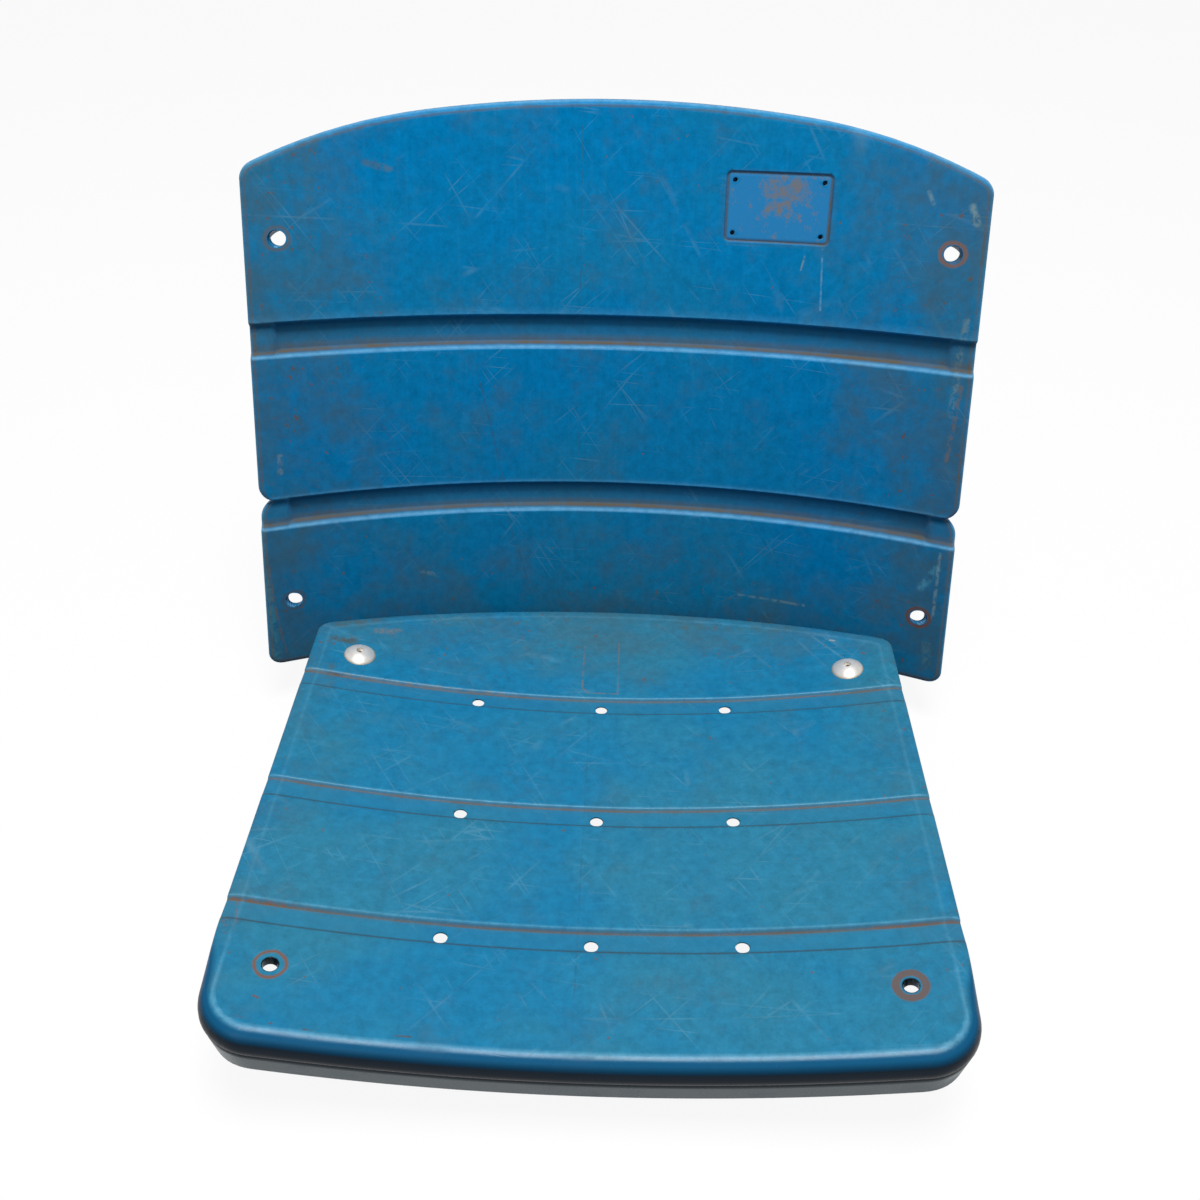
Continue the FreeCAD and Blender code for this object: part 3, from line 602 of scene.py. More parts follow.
# %% [markdown]
# ## The back panel's sizes
#
# The back is bent round a tighter drum and leans back. Two deep grooves divide it into three
# slats. Near the sides the groove floors step up, and the lower groove ends in a small V notch.
# A shallow recess at the upper right has lost its plate and kept the four screw holes.

# %% Sizes of the back panel
BACK_REACH = 272.6
BACK_RISE = 138.4
RECLINE = 13.65
BACK_RADIUS = 490.8
BACK_HALF = 244.9
BACK_FLARE = 0.026
CREST = 213
CREST_RADIUS = 990
SHOULDER_RADIUS = 342
CREST_HALF = 130
BACK_BOTTOM = 182.5
SHOULDER_CORNER = 7
FOOT_CORNER = 10
BACK_THICK = 26
BACK_RIM = 5
BACK_REAR_RIM = 4
BACK_GROOVES = ((48.9, 69.7), (-73.9, -54.5))
GROOVE_DEEP = 7
GROOVE_STEP = 228
GROOVE_STEP_DEEP = 3
GROOVE_SHOULDER = 5.5
GROOVE_BROW = 3.5
NOTCH_UP = -54.5
NOTCH_DEEP = 10
NOTCH_HIGH = 12
BACK_WALL_ROWS = 7
BACK_PARTING = 0.5
BACK_PARTING_DEEP = 0.6
NOTCH_REACH = 24
UPPER_HOLE = (221, 125.3)
LOWER_HOLE = (228.8, -131.6)
BACK_BORE = 10.5
BORE_RELIEF = 23
RELIEF_OUTWARD = 0.08
RELIEF_DOWNWARD = 0.4
PLATE_MIDDLE = (109.9, 147.6)
PLATE_WIDE = 70.5
PLATE_HIGH = 47
PLATE_DEEP = 1
PLATE_WALL = 0.9
PLATE_CORNER = 4
GUTTER_PLACE = 1.3
GUTTER_HALF = 1.5
PLATE_HOLES = (58.5, 34.6)
PLATE_HOLE_BORE = 3.2
PLATE_HOLE_DEEP = 9
PAD_FACE = 6
PAD_INNER = 154
PAD_OUTER = 194
PAD_LOW = 150
PAD_HIGH = 50
PAD_WALL = 2
print("back leans %.2f degrees" % RECLINE)


# %% Outline of the back
def side_line(up):
    return BACK_HALF - BACK_FLARE * up


def crest_line(x):
    """Height of the crest: one long arc with a tighter one at each shoulder."""
    x = abs(x)
    centre = CREST - CREST_RADIUS
    if x <= CREST_HALF:
        return centre + math.sqrt(CREST_RADIUS ** 2 - x ** 2)
    lean = math.asin(CREST_HALF / CREST_RADIUS)
    gap = CREST_RADIUS - SHOULDER_RADIUS
    return centre + gap * math.cos(lean) + math.sqrt(SHOULDER_RADIUS ** 2 - (x - gap * math.sin(lean)) ** 2)


def shoulder_height():
    """Where the crest meets the flared side, found by stepping towards it."""
    up = 0
    for _ in range(20):
        up = crest_line(side_line(up))
    return up


def back_drop(x, depth):
    """How far behind the back's middle line a depth lies."""
    return math.sqrt((BACK_RADIUS + depth) ** 2 - x ** 2) - BACK_RADIUS


# %% Depth of the back at each place
def back_groove_depth(x, y):
    total = 0
    step = 1 - ease(GROOVE_STEP - 1.5, GROOVE_STEP + 1.5, abs(x))
    deep = GROOVE_STEP_DEEP + (GROOVE_DEEP - GROOVE_STEP_DEEP) * step
    for low, high in BACK_GROOVES:
        shoulder = ease(low - GROOVE_SHOULDER / 2, low + GROOVE_SHOULDER / 2, y)
        brow = 1 - ease(high - GROOVE_BROW / 2, high + GROOVE_BROW / 2, y)
        total += deep * shoulder * brow
    return total


def plate_inside(x, y):
    """How far inside the recess's rounded outline a place lies; less than 0 outside it."""
    across = abs(x - PLATE_MIDDLE[0]) - PLATE_WIDE / 2 + PLATE_CORNER
    up = abs(y - PLATE_MIDDLE[1]) - PLATE_HIGH / 2 + PLATE_CORNER
    return PLATE_CORNER - math.hypot(max(across, 0), max(up, 0)) - min(max(across, up), 0)


def plate_depth(x, y):
    """A flat floor with a slightly deeper gutter round it, where the plate's edge pressed in."""
    inside = plate_inside(x, y)
    gutter = 0.5 * ridge(GUTTER_PLACE, GUTTER_HALF, inside)
    return PLATE_DEEP * (ease(0, PLATE_WALL, inside) + gutter)


def back_front(x, y, rim):
    return (back_groove_depth(x, y) * (1 - 0.35 * rim) + plate_depth(x, y) + BACK_RIM * rim
            + ripple(x, y, 7) * (1 - rim))


def back_rear(x, y, rim):
    pad_depth = math.hypot(BACK_RADIUS + PAD_FACE, x) - BACK_RADIUS
    across = abs(abs(x) - (PAD_INNER + PAD_OUTER) / 2)
    half = (PAD_OUTER - PAD_INNER) / 2
    inside = 1 - ease(half, half + PAD_WALL, across)
    inside *= ease(-PAD_LOW - PAD_WALL, -PAD_LOW, y) * (1 - ease(PAD_HIGH, PAD_HIGH + PAD_WALL, y))
    return BACK_THICK + (pad_depth - BACK_THICK) * inside - BACK_REAR_RIM * rim


# %% Flat sheet for the back
def back_sheet():
    sheet = bmesh.new()
    rim = sheet.verts.layers.float.new("rim")
    down = sheet.verts.layers.float.new("down")
    shoulder = shoulder_height()
    foot = side_line(-BACK_BOTTOM)
    top = side_line(shoulder)
    outline_face(sheet, [(-foot, -BACK_BOTTOM), (foot, -BACK_BOTTOM), (top, shoulder), (-top, shoulder)])
    crest = [edge for edge in sheet.edges if min(corner.co.y for corner in edge.verts) > 0]
    bmesh.ops.subdivide_edges(sheet, edges=crest, cuts=38)
    for corner in sheet.verts:
        if corner.co.y > 0:
            corner.co.y = crest_line(corner.co.x)
    round_corners(sheet, lambda co: abs(co.x) > foot - 1 and co.y < 0, FOOT_CORNER, 6)
    round_corners(sheet, lambda co: abs(co.x) > top - 1 and abs(co.y - shoulder) < 1, SHOULDER_CORNER, 6)
    add_rim(sheet, rim, BACK_RIM, 5)

    rows = around(NOTCH_UP, (-12, -10, -8, -6, -4, -2.5, -1, 0, 1, 2.5, 4, 6, 8, 10, 12))
    for low, high in BACK_GROOVES:
        rows += around(low, (-3.2, -2.75, -2, -1.2, -0.4, 0.4, 1.2, 2, 2.75, 3.2))
        rows += around(high, (-2.2, -1.75, -1.2, -0.6, 0, 0.6, 1.2, 1.75, 2.2))
    columns = []
    for axis, places, half in ((0, columns, PLATE_WIDE / 2), (1, rows, PLATE_HIGH / 2)):
        for side in (-1, 1):
            edge = PLATE_MIDDLE[axis] + side * half
            places += around(edge, [-side * inward for inward in (0, 0.4, 0.8, 1.3, 1.8, 2.4, 3.2, 4)])
    rows += [-PAD_LOW - PAD_WALL, -PAD_LOW, PAD_HIGH, PAD_HIGH + PAD_WALL]
    for side in (-1, 1):
        columns += around(side * GROOVE_STEP, (-1.5, -0.8, 0, 0.8, 1.5))
        pad = (PAD_INNER - PAD_WALL, PAD_INNER, PAD_OUTER, PAD_OUTER + PAD_WALL)
        columns += [side * place for place in pad]
    slice_sheet(sheet, 1, stations(-BACK_BOTTOM, CREST, 4, rows))
    slice_sheet(sheet, 0, stations(-foot, foot, 4, columns))
    close_slab(sheet, down, BACK_WALL_ROWS)
    return sheet, rim, down


def pull_notches(sheet):
    """Draw the sides in to a small V with round shoulders at each end of the lower groove."""
    for corner in sheet.verts:
        x, y = corner.co.x, corner.co.y
        near = 1 - min(abs(y - NOTCH_UP) / NOTCH_HIGH, 1)
        near = 1 - math.sqrt(1 - near * near)
        outward = ease(side_line(y) - NOTCH_REACH, side_line(y), abs(x))
        corner.co.x -= math.copysign(NOTCH_DEEP * near * outward, x)


back_flat, back_rim, back_down = back_sheet()
sink(back_flat, back_rim, back_down, back_front, back_rear)
crease_wall(back_flat, back_down, BACK_WALL_ROWS, BACK_PARTING, BACK_PARTING_DEEP)
pull_notches(back_flat)
print("back sheet:", len(back_flat.verts), "points")


# %% Notes on the back
BACK_SOIL_SIDES = (125, 15)
BACK_SOIL_AND_SHADE_UP = -60


def back_dirt(corner):
    """Dirt under each groove, in the plate's gutter, round the rim and along the parting line."""
    if corner[back_down] > 0:
        return 0.7 * ridge(BACK_PARTING, 0.2, corner[back_down])
    total = 0
    for low, high in BACK_GROOVES:
        total += ridge(low + 1.2, 1.5, corner.co.y) + 0.6 * ridge(low + 3.6, 3.4, corner.co.y)
    gutter = ridge(GUTTER_PLACE, GUTTER_HALF, plate_inside(corner.co.x, corner.co.y))
    return total + gutter + 0.7 * ridge(0.04, 0.04, corner[back_rim])


def back_wear_and_highlight(corner):
    """The paler lips of the slats, steps in the groove floors and the outer rim: partly wear, partly painted
    highlight.
    """
    if corner[back_down] > 0:
        return 0
    lips = sum(ridge(low - 1.1, 1.4, corner.co.y) + 0.3 * ridge(high + 2.6, 1.6, corner.co.y)
               for low, high in BACK_GROOVES)
    steps = 0.2 * ridge(GROOVE_STEP, 1.6, abs(corner.co.x)) * min(back_groove_depth(0, corner.co.y), 1)
    # Lips and outer rim are painted highlight as well as wear.
    return lips + steps + 0.9 * ease(0.12, 0.6, corner[back_rim])


def back_soil_and_low_shade(corner):
    """Soil gathers in a broad band along each side, and low down, where the tint is also painted shade."""
    side = side_line(corner.co.y)
    sides = ease(side - BACK_SOIL_SIDES[0], side - BACK_SOIL_SIDES[1], abs(corner.co.x))
    # Low down the soil tint is also painted shade.
    below = 1 - ease(-BACK_BOTTOM, BACK_SOIL_AND_SHADE_UP, corner.co.y)
    return max(sides, 0.7 * below)


def back_sink(corner):
    """1 on the floors of the grooves."""
    deep = back_groove_depth(corner.co.x, corner.co.y) / GROOVE_DEEP
    return min(deep, 1) * (corner[back_down] == 0)


def back_shade(corner):
    """The dark band under each slat's lower edge."""
    if corner[back_down] > 0:
        return 0
    return sum(ridge(high - 2.4, 3.6, corner.co.y) for low, high in BACK_GROOVES)


def back_plate(corner):
    """1 on the flat floor of the plate's recess."""
    return ease(1.8, 2.8, plate_inside(corner.co.x, corner.co.y)) * (corner[back_down] == 0)


note(back_flat, {"dirt": back_dirt, "edge": back_wear_and_highlight, "soil": back_soil_and_low_shade, "hollow": back_sink,
                 "shade": back_shade, "plate": back_plate, "nose": lambda corner: 0})
keep_plan(back_flat)


# %% Bend and place the back
BACK_PLACE = (Matrix.Translation((0, SEAT_ROW + BACK_REACH, SEAT_LEVEL + BACK_RISE))
              @ Matrix.Rotation(math.radians(-RECLINE), 4, "X"))


def bend_back(sheet):
    for corner in sheet.verts:
        x, up, depth = corner.co.x, corner.co.y, -corner.co.z
        corner.co = (x, back_drop(x, depth), up)
    sheet.transform(BACK_PLACE)
    bmesh.ops.scale(sheet, verts=sheet.verts, vec=(mm(1), mm(1), mm(1)))


def back_cutters():
    """The reliefs behind the bolt holes, and the holes themselves."""
    reliefs = bmesh.new()
    cutters = bmesh.new()
    toward_front = Matrix.Rotation(math.radians(90), 4, "X")
    toward_rear = Matrix.Rotation(math.radians(-90), 4, "X")
    for across, up in (UPPER_HOLE, LOWER_HOLE):
        for side in (-1, 1):
            face = back_drop(across, 0)
            hole = spun(drill(BACK_BORE / 2, -2 * PINCH, 0, 30, 0.6))
            place = BACK_PLACE @ Matrix.Translation((side * across, face, up)) @ toward_front
            place_cutter(cutters, hole, (0, 0, 0), place)
            relief = spun([(0, 0), (4, 0), (BORE_RELIEF / 2 - 4, 0), (BORE_RELIEF / 2 - 3, 0.8),
                           (BORE_RELIEF / 2, BACK_THICK), (0, BACK_THICK)])
            for corner in relief.verts:
                corner.co.x += side * RELIEF_OUTWARD * corner.co.z
                corner.co.y += RELIEF_DOWNWARD * corner.co.z
            relief.transform(Matrix.Translation((side * across, 0, up)) @ toward_rear)
            for corner in relief.verts:
                corner.co.y += back_drop(corner.co.x, PINCH)
            place_cutter(reliefs, relief, (0, 0, 0), BACK_PLACE)
    for across in (-1, 1):
        for up in (-1, 1):
            x = PLATE_MIDDLE[0] + across * PLATE_HOLES[0] / 2
            y = PLATE_MIDDLE[1] + up * PLATE_HOLES[1] / 2
            hole = spun(drill(PLATE_HOLE_BORE / 2, -PLATE_HOLE_DEEP, -PLATE_DEEP, 10, 0.3), 24)
            place = BACK_PLACE @ Matrix.Translation((x, back_drop(x, 0), y)) @ toward_front
            place_cutter(cutters, hole, (0, 0, 0), place)
    return reliefs, cutters


bend_back(back_flat)
back_shell = piece_from(back_flat, "back_shell", "fixed_frame")
for cutters in back_cutters():
    drill_all(back_shell, cutters)
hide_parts("back_panel")

# %% [markdown]
# ## Colours and nodes
#
# Colours are written as they look on a screen, in sRGB hex, and one function turns them into
# the linear values that shaders use. One small function adds a node with its settings and links
# and gives back one of its outputs.

# %% Colour and node helpers
def colour(code):
    """A linear colour with alpha, from six hex digits."""
    channels = [int(code[i:i + 2], 16) / 255 for i in (0, 2, 4)]
    linear = [c / 12.92 if c <= 0.04045 else ((c + 0.055) / 1.055) ** 2.4 for c in channels]
    return (*linear, 1)


def new_material(name):
    material = bpy.data.materials.new(name)
    material.use_nodes = True
    return material, material.node_tree, material.node_tree.nodes["Principled BSDF"]


def add(tree, kind, settings=None, out=None, **links):
    """Add a node with its settings, and values or sockets for its inputs. Returns one output."""
    node = tree.nodes.new("ShaderNode" + kind)
    for name, value in (settings or {}).items():
        setattr(node, name, value)
    for name, value in links.items():
        key = int(name[1:]) if name[0] == "i" and name[1:].isdigit() else name.replace("_", " ")
        if isinstance(value, bpy.types.NodeSocket):
            tree.links.new(value, node.inputs[key])
        else:
            node.inputs[key].default_value = value
    return node.outputs[out] if out else next(socket for socket in node.outputs if socket.enabled)


# %% Settings that many nodes share
RGBA = {"data_type": "RGBA"}
SOFT = {"interpolation_type": "SMOOTHSTEP"}
TIMES = {"operation": "MULTIPLY"}
TIMES_ADD = {"operation": "MULTIPLY_ADD"}
DISTANCE = {"operation": "DISTANCE"}
print("colour and node helpers ready")


# %% Scale of a pattern
def per(size):
    """Noise scale for features about this many millimetres across, on coordinates in metres."""
    return 1 / mm(size)


# %% [markdown]
# ## Blown polyethylene after years outdoors
#
# High-density polyethylene is waxy and coloured right through. New, it has a satin skin. Sun
# chalks that skin to a paler, greyer blue, rain carries grey-brown soil into the corners, and
# shoes and hands leave fine scratches and polished, paler edges, on which highlights are also
# painted. All of these are layers of colour here, each with its own mask: broad clouds for the
# fading, a fine mottle, long streaks, soil, dirt lines, rust specks and edges paler from wear and
# painted highlight. Soil is also rougher than the skin around it.

# %% The worn plastic's layers
def worn_plastic(name, fresh, faded, streak_turn, soil_share):
    """The layers both panels share, with the colour so far and the sockets that later ones need."""
    material, tree, shader = new_material(name)
    place = add(tree, "TexCoord", out="Object")
    plan = add(tree, "UVMap", {"uv_map": "plan"})
    notes = {key: add(tree, "Attribute", {"attribute_name": key}, out="Fac")
             for key in ("dirt", "edge", "soil", "hollow", "shade", "plate", "nose", "down")}

    # Broad clouds, a hand wide, where the sun has bleached the skin more.
    clouds = add(tree, "TexNoise", Vector=place, Scale=per(110), Detail=4, Roughness=0.55)
    bleach = add(tree, "MapRange", SOFT, Value=clouds, From_Min=0.36, From_Max=0.66)
    colour_now = add(tree, "Mix", RGBA, i0=bleach, i6=colour(fresh), i7=colour(faded))

    # Mottle a few millimetres across, darker and lighter around the base.
    mottle = add(tree, "TexNoise", Vector=place, Scale=per(7), Detail=6, Roughness=0.78)
    light = add(tree, "MapRange", Value=mottle, From_Min=0.3, From_Max=0.7, To_Min=0.8, To_Max=1.2)
    colour_now = add(tree, "VectorMath", {"operation": "SCALE"}, i0=colour_now, Scale=light)

    # Long streaks a millimetre or two wide, from wiping and from water running off.
    along = add(tree, "Mapping", {"vector_type": "TEXTURE"}, Vector=plan, Rotation=(0, 0, streak_turn),
                Scale=(1, 30, 1))
    streaks = add(tree, "TexNoise", Vector=along, Scale=per(3.2), Detail=5, Roughness=0.6)
    streak = add(tree, "MapRange", Value=streaks, From_Min=0.52, From_Max=0.8, To_Max=0.12)

    # Fine crossing scratches: the borders of long thin cells, kept only here and there.
    scratch = 0
    for turn, seed in ((0.6, 3.1), (-0.8, 8.7), (1.5, 1.3)):
        turned = add(tree, "Mapping", {"vector_type": "TEXTURE"}, Vector=plan, Location=(seed, seed, 0),
                     Rotation=(0, 0, turn), Scale=(1, 16, 1))
        border = add(tree, "TexVoronoi", {"feature": "DISTANCE_TO_EDGE"}, Vector=turned, Scale=per(24))
        line = add(tree, "MapRange", Value=border, From_Max=0.014, To_Min=1, To_Max=0)
        scratch = add(tree, "Math", {"operation": "MAXIMUM"}, i0=line, i1=scratch)
    broken = add(tree, "TexNoise", Vector=place, Scale=per(30), Detail=3)
    kept = add(tree, "MapRange", Value=broken, From_Min=0.5, From_Max=0.7, To_Max=0.22)
    scratch = add(tree, "Math", TIMES, i0=scratch, i1=kept)

    # Grey-brown soil: everywhere a little, more near the sides and in sheltered places.
    patches = add(tree, "TexNoise", Vector=place, Scale=per(38), Detail=7, Roughness=0.72)
    where = add(tree, "Math", TIMES_ADD, i0=notes["soil"], i1=0.2, i2=patches)
    soiled = add(tree, "MapRange", SOFT, Value=where, From_Min=0.47, From_Max=0.88, To_Max=soil_share)

    # Rust-brown specks about a millimetre across, most of them near the sides.
    grains = add(tree, "TexNoise", Vector=place, Scale=per(4.5), Detail=2, Roughness=0.5)
    rarely = add(tree, "Math", TIMES_ADD, i0=notes["soil"], i1=0.06, i2=grains)
    speck = add(tree, "MapRange", Value=rarely, From_Min=0.75, From_Max=0.77, To_Max=0.7)

    for share, tint in ((streak, "3E97C0"), (scratch, "8DB4C6"), (soiled, "4E5C5A"), (speck, "6E5440")):
        colour_now = add(tree, "Mix", RGBA, i0=share, i6=colour_now, i7=colour(tint))

    # Two masks for the marks below: only on the face that is sat or leaned on, and worn into gaps.
    on_face = add(tree, "MapRange", Value=notes["down"], From_Max=0.1, To_Min=1, To_Max=0)
    chipped = add(tree, "TexNoise", Vector=place, Scale=per(5), Detail=5, Roughness=0.7)
    gaps = add(tree, "MapRange", Value=chipped, From_Min=0.42, From_Max=0.56)
    return material, tree, shader, colour_now, dict(notes, place=place, plan=plan, soiled=soiled,
                                                    mottle=mottle, scratch=scratch, patches=patches,
                                                    on_face=on_face, gaps=gaps)


# %% [markdown]
# ## Rings, strokes and edges
#
# Washers have printed rust rings round the empty bolt holes. A ring is a distance from the
# hole's middle on the flat drawing, roughened by noise, that fades in and out at two radii.
# A stroke is the distance from a line, for single scratches, drips and rubbed patches. Dirt
# lines, and edges paler from wear and painted highlight, take their place from the notes on the points.

# %% Rings
def ring(tree, look, below, middle, inner, outer, stain, strength):
    """A printed ring round a hole, from the inner to the outer radius in millimetres."""
    centre = tuple(mm(v) for v in middle) + (0,)
    far = add(tree, "VectorMath", DISTANCE, i0=look["plan"], i1=centre)
    rough = add(tree, "TexNoise", Vector=look["place"], Scale=per(5), Detail=4)
    far = add(tree, "Math", TIMES_ADD, i0=rough, i1=mm(1.8), i2=far)
    mask = add(tree, "MapRange", SOFT, Value=far, From_Min=mm(inner + 0.2), From_Max=mm(inner + 1.6),
               To_Max=strength)
    fade = add(tree, "MapRange", SOFT, Value=far, From_Min=mm(outer + 0.4), From_Max=mm(outer + 1.8),
               To_Min=1, To_Max=0)
    for other in (fade, look["on_face"]):
        mask = add(tree, "Math", TIMES, i0=mask, i1=other)
    return add(tree, "Mix", RGBA, i0=mask, i6=below, i7=colour(stain))


# %% Strokes
def stroke(tree, look, below, start, end, half, tint, strength):
    """A soft mark along a line on the flat drawing, in millimetres, broken up by the mottle."""
    span = Vector([mm(b - a) for a, b in zip(start, end)] + [0])
    offset = add(tree, "VectorMath", {"operation": "SUBTRACT"}, i0=look["plan"],
                 i1=tuple(mm(v) for v in start) + (0,))
    along = add(tree, "VectorMath", {"operation": "DOT_PRODUCT"}, i0=offset, i1=span)
    share = add(tree, "MapRange", Value=along, From_Max=span.length_squared)
    foot = add(tree, "VectorMath", {"operation": "SCALE"}, i0=span, Scale=share)
    far = add(tree, "VectorMath", DISTANCE, i0=offset, i1=foot)
    far = add(tree, "Math", TIMES_ADD, i0=look["mottle"], i1=mm(half), i2=far)
    mask = add(tree, "MapRange", SOFT, Value=far, From_Min=mm(0.7 * half), From_Max=mm(1.5 * half),
               To_Min=strength, To_Max=0)
    for other in (look["on_face"], look["gaps"]):
        mask = add(tree, "Math", TIMES, i0=mask, i1=other)
    return add(tree, "Mix", RGBA, i0=mask, i6=below, i7=colour(tint))


# %% The last layers
def finish_plastic(tree, shader, look, colour_now, hollow_tint, shade_tint, dirt_tint, wear_and_highlight_tint, gloss):
    """Groove floors, painted shade lines, dirt lines and edges paler from wear and painted highlight, then
    colour, roughness and bump on the shader.
    """
    on_floor = add(tree, "Math", TIMES, i0=look["hollow"], i1=0.35)
    shaded = add(tree, "Math", TIMES, i0=look["shade"], i1=0.75)
    uneven = add(tree, "MapRange", Value=look["patches"], From_Min=0.35, From_Max=0.6, To_Min=0.6, To_Max=1)
    dirty = add(tree, "Math", dict(TIMES, use_clamp=True), i0=look["dirt"], i1=uneven)
    # Edges paler from wear, with painted highlights along rims and lips.
    worn_and_highlit = add(tree, "MapRange", Value=look["mottle"], From_Min=0.3, From_Max=0.6, To_Min=0.45, To_Max=0.95)
    worn_and_highlit = add(tree, "Math", TIMES, i0=look["edge"], i1=worn_and_highlit)
    for share, tint in ((on_floor, hollow_tint), (shaded, shade_tint), (dirty, dirt_tint), (worn_and_highlit, wear_and_highlight_tint)):
        colour_now = add(tree, "Mix", RGBA, i0=share, i6=colour_now, i7=colour(tint))
    tree.links.new(colour_now, shader.inputs["Base Color"])

    # The waxy skin is glossy, and soil and dirt are dull.
    rough = add(tree, "MapRange", Value=look["patches"], From_Min=0.3, From_Max=0.7, To_Min=0.21,
                To_Max=0.3)
    for dull, share in ((look["soiled"], 0.45), (dirty, 0.4)):
        rough = add(tree, "Math", TIMES_ADD, i0=dull, i1=share, i2=rough)
    tree.links.new(rough, shader.inputs["Roughness"])
    shader.inputs["IOR"].default_value = 1.45
    shader.inputs["Specular IOR Level"].default_value = gloss

    # A fine grain under the skin, and scratches cut into it.
    grain = add(tree, "TexNoise", Vector=look["place"], Scale=per(1.6), Detail=4, Roughness=0.6)
    height = add(tree, "Math", TIMES_ADD, i0=look["scratch"], i1=-2.5, i2=grain)
    bump = add(tree, "Bump", Height=height, Strength=0.12, Distance=mm(0.25))
    tree.links.new(bump, shader.inputs["Normal"])


def dress(piece, material):
    piece.data.materials.clear()
    piece.data.materials.append(material)


# %% The seat's plastic
seat_plastic, tree, shader, layered, look = worn_plastic(
    "worn_polyethylene_seat", fresh="1A79A4", faded="2D7D9C", streak_turn=math.radians(90),
    soil_share=0.42)
# Middle, inner and outer radius, colour and strength.
SEAT_RINGS = (((-BOLT_LINE, BOLT_FRONT), 7.4, 9.0, "7D5B4C", 0.95),
              ((BOLT_LINE, BOLT_FRONT), 5.8, 9.8, "6E5A52", 0.9))
for middle, inner, outer, stain, strength in SEAT_RINGS:
    layered = ring(tree, look, layered, middle, inner, outer, stain, strength)
print("washer rings on the seat:", len(SEAT_RINGS))

# %% Painted shade inside the seat's empty bolt holes
HOLE_SHADE_FULL = 4.6
HOLE_SHADE_GONE = 5
# Painted shade: the empty bolt holes are painted near black.
flat = add(tree, "VectorMath", TIMES, i0=look["place"], i1=(1, 1, 0))
for side in (-1, 1):
    hole = (mm(side * BOLT_LINE), mm(SEAT_ROW + BOLT_FRONT), 0)
    far = add(tree, "VectorMath", DISTANCE, i0=flat, i1=hole)
    inside = add(tree, "MapRange", Value=far, From_Min=mm(HOLE_SHADE_FULL), From_Max=mm(HOLE_SHADE_GONE),
                 To_Min=0.95, To_Max=0)
    layered = add(tree, "Mix", RGBA, i0=inside, i6=layered, i7=colour("080B0D"))
print("painted_shade in the bolt holes, out to", HOLE_SHADE_GONE, "mm")

# %% Marks on the seat
# Start, end, half width, colour and strength: an insert's outline near the rear edge, the mould
# line, rust that has run along the front groove, chips on the nose, the rubbed lip of the rear
# groove and patches of soil by the rear edge.
SEAT_MARKS = (((-14, 176), (-14, 125), 0.9, "8A6A50", 0.6), ((-14, 125), (-10, 120), 0.9, "8A6A50", 0.7),
              ((-10, 120), (11, 119.5), 0.9, "7E7468", 0.6), ((11, 119.5), (11, 176), 0.9, "8A6A50", 0.5),
              ((-8, -158), (-8, 119), 0.7, "2F5E74", 0.45),
              ((-203, -84.4), (-160, -84.4), 1.6, "96562E", 0.9),
              ((158, -84.4), (203, -84.4), 1.3, "96562E", 0.7),
              ((-200, -84), (-196, -101), 1.2, "8A5230", 0.6),
              ((-202, -101), (-201, -103), 2.2, "8A5230", 0.8),
              ((-180, -158), (-176, -159), 1.1, "6A3F28", 0.8),
              ((-164, -160), (-158, -161), 1.0, "6A4A34", 0.8),
              ((-148, -161), (-143, -161), 0.9, "5E4A3A", 0.7),
              ((-176, -145), (-173, -146), 0.8, "7A4A30", 0.8),
              ((-100, -159), (-92, -159), 0.9, "5E4A3A", 0.7), ((164, 170), (167, 169), 1.0, "C9BBA6", 0.7),
              ((-194, 148), (-180, 151), 6, "55564A", 0.75), ((-164, 166), (-150, 168), 5, "8A7A66", 0.5),
              ((-203, 114.6), (-60, 114.6), 1.3, "8F7A60", 0.6),
              ((-190, 114), (-180, 113.6), 1.8, "4A2A18", 0.95),
              ((-192, 168), (-168, 178), 7, "5E5E4C", 0.5), ((-190, 120), (-186, 100), 6, "5A5C4E", 0.45),
              ((-120, 190), (-60, 196), 5, "4A6A6C", 0.4), ((60, 196), (140, 186), 6, "4A6A6C", 0.4))
for start, end, half, tint, strength in SEAT_MARKS:
    layered = stroke(tree, look, layered, start, end, half, tint, strength)
print("marks on the seat:", len(SEAT_MARKS))

# %% Painted shade and painted reflection on the nose
# Painted shade: the rounded edge darkens in two steps down to the parting line. Painted reflection: the wall
# below it is greyer.
NOSE_PAINTED_SHADE = ((0.06, 0.18, 0.94, "04547E"), (0.28, 0.6, 0.97, "03121E"))
PAINTED_REFLECTION_START = PARTING + 0.03
PAINTED_REFLECTION_FULL = PARTING + 0.2
UNDERSIDE = 0.85
# Painted shade over the nose's rounded edge, in two steps.
for start, end, share, tint in NOSE_PAINTED_SHADE:
    nose_shade_share = add(tree, "MapRange", Value=look["nose"], From_Min=start, From_Max=end, To_Max=share)
    layered = add(tree, "Mix", RGBA, i0=nose_shade_share, i6=layered, i7=colour(tint))
# Painted reflection on the wall below the parting line, fading out before the underside.
below = add(tree, "MapRange", Value=look["down"], From_Min=PAINTED_REFLECTION_START, From_Max=PAINTED_REFLECTION_FULL, To_Max=0.85)
wall = add(tree, "MapRange", Value=look["down"], From_Min=UNDERSIDE, From_Max=1, To_Min=1, To_Max=0)
below = add(tree, "Math", TIMES, i0=below, i1=wall)
layered = add(tree, "Mix", RGBA, i0=below, i6=layered, i7=colour("48616A"))
finish_plastic(tree, shader, look, layered, hollow_tint="3580A6", shade_tint="1E4A5C",
               dirt_tint="70593F", wear_and_highlight_tint="6FB2D2", gloss=0.2)
dress(seat_shell, seat_plastic)
print("seat plastic:", len(tree.nodes), "nodes")

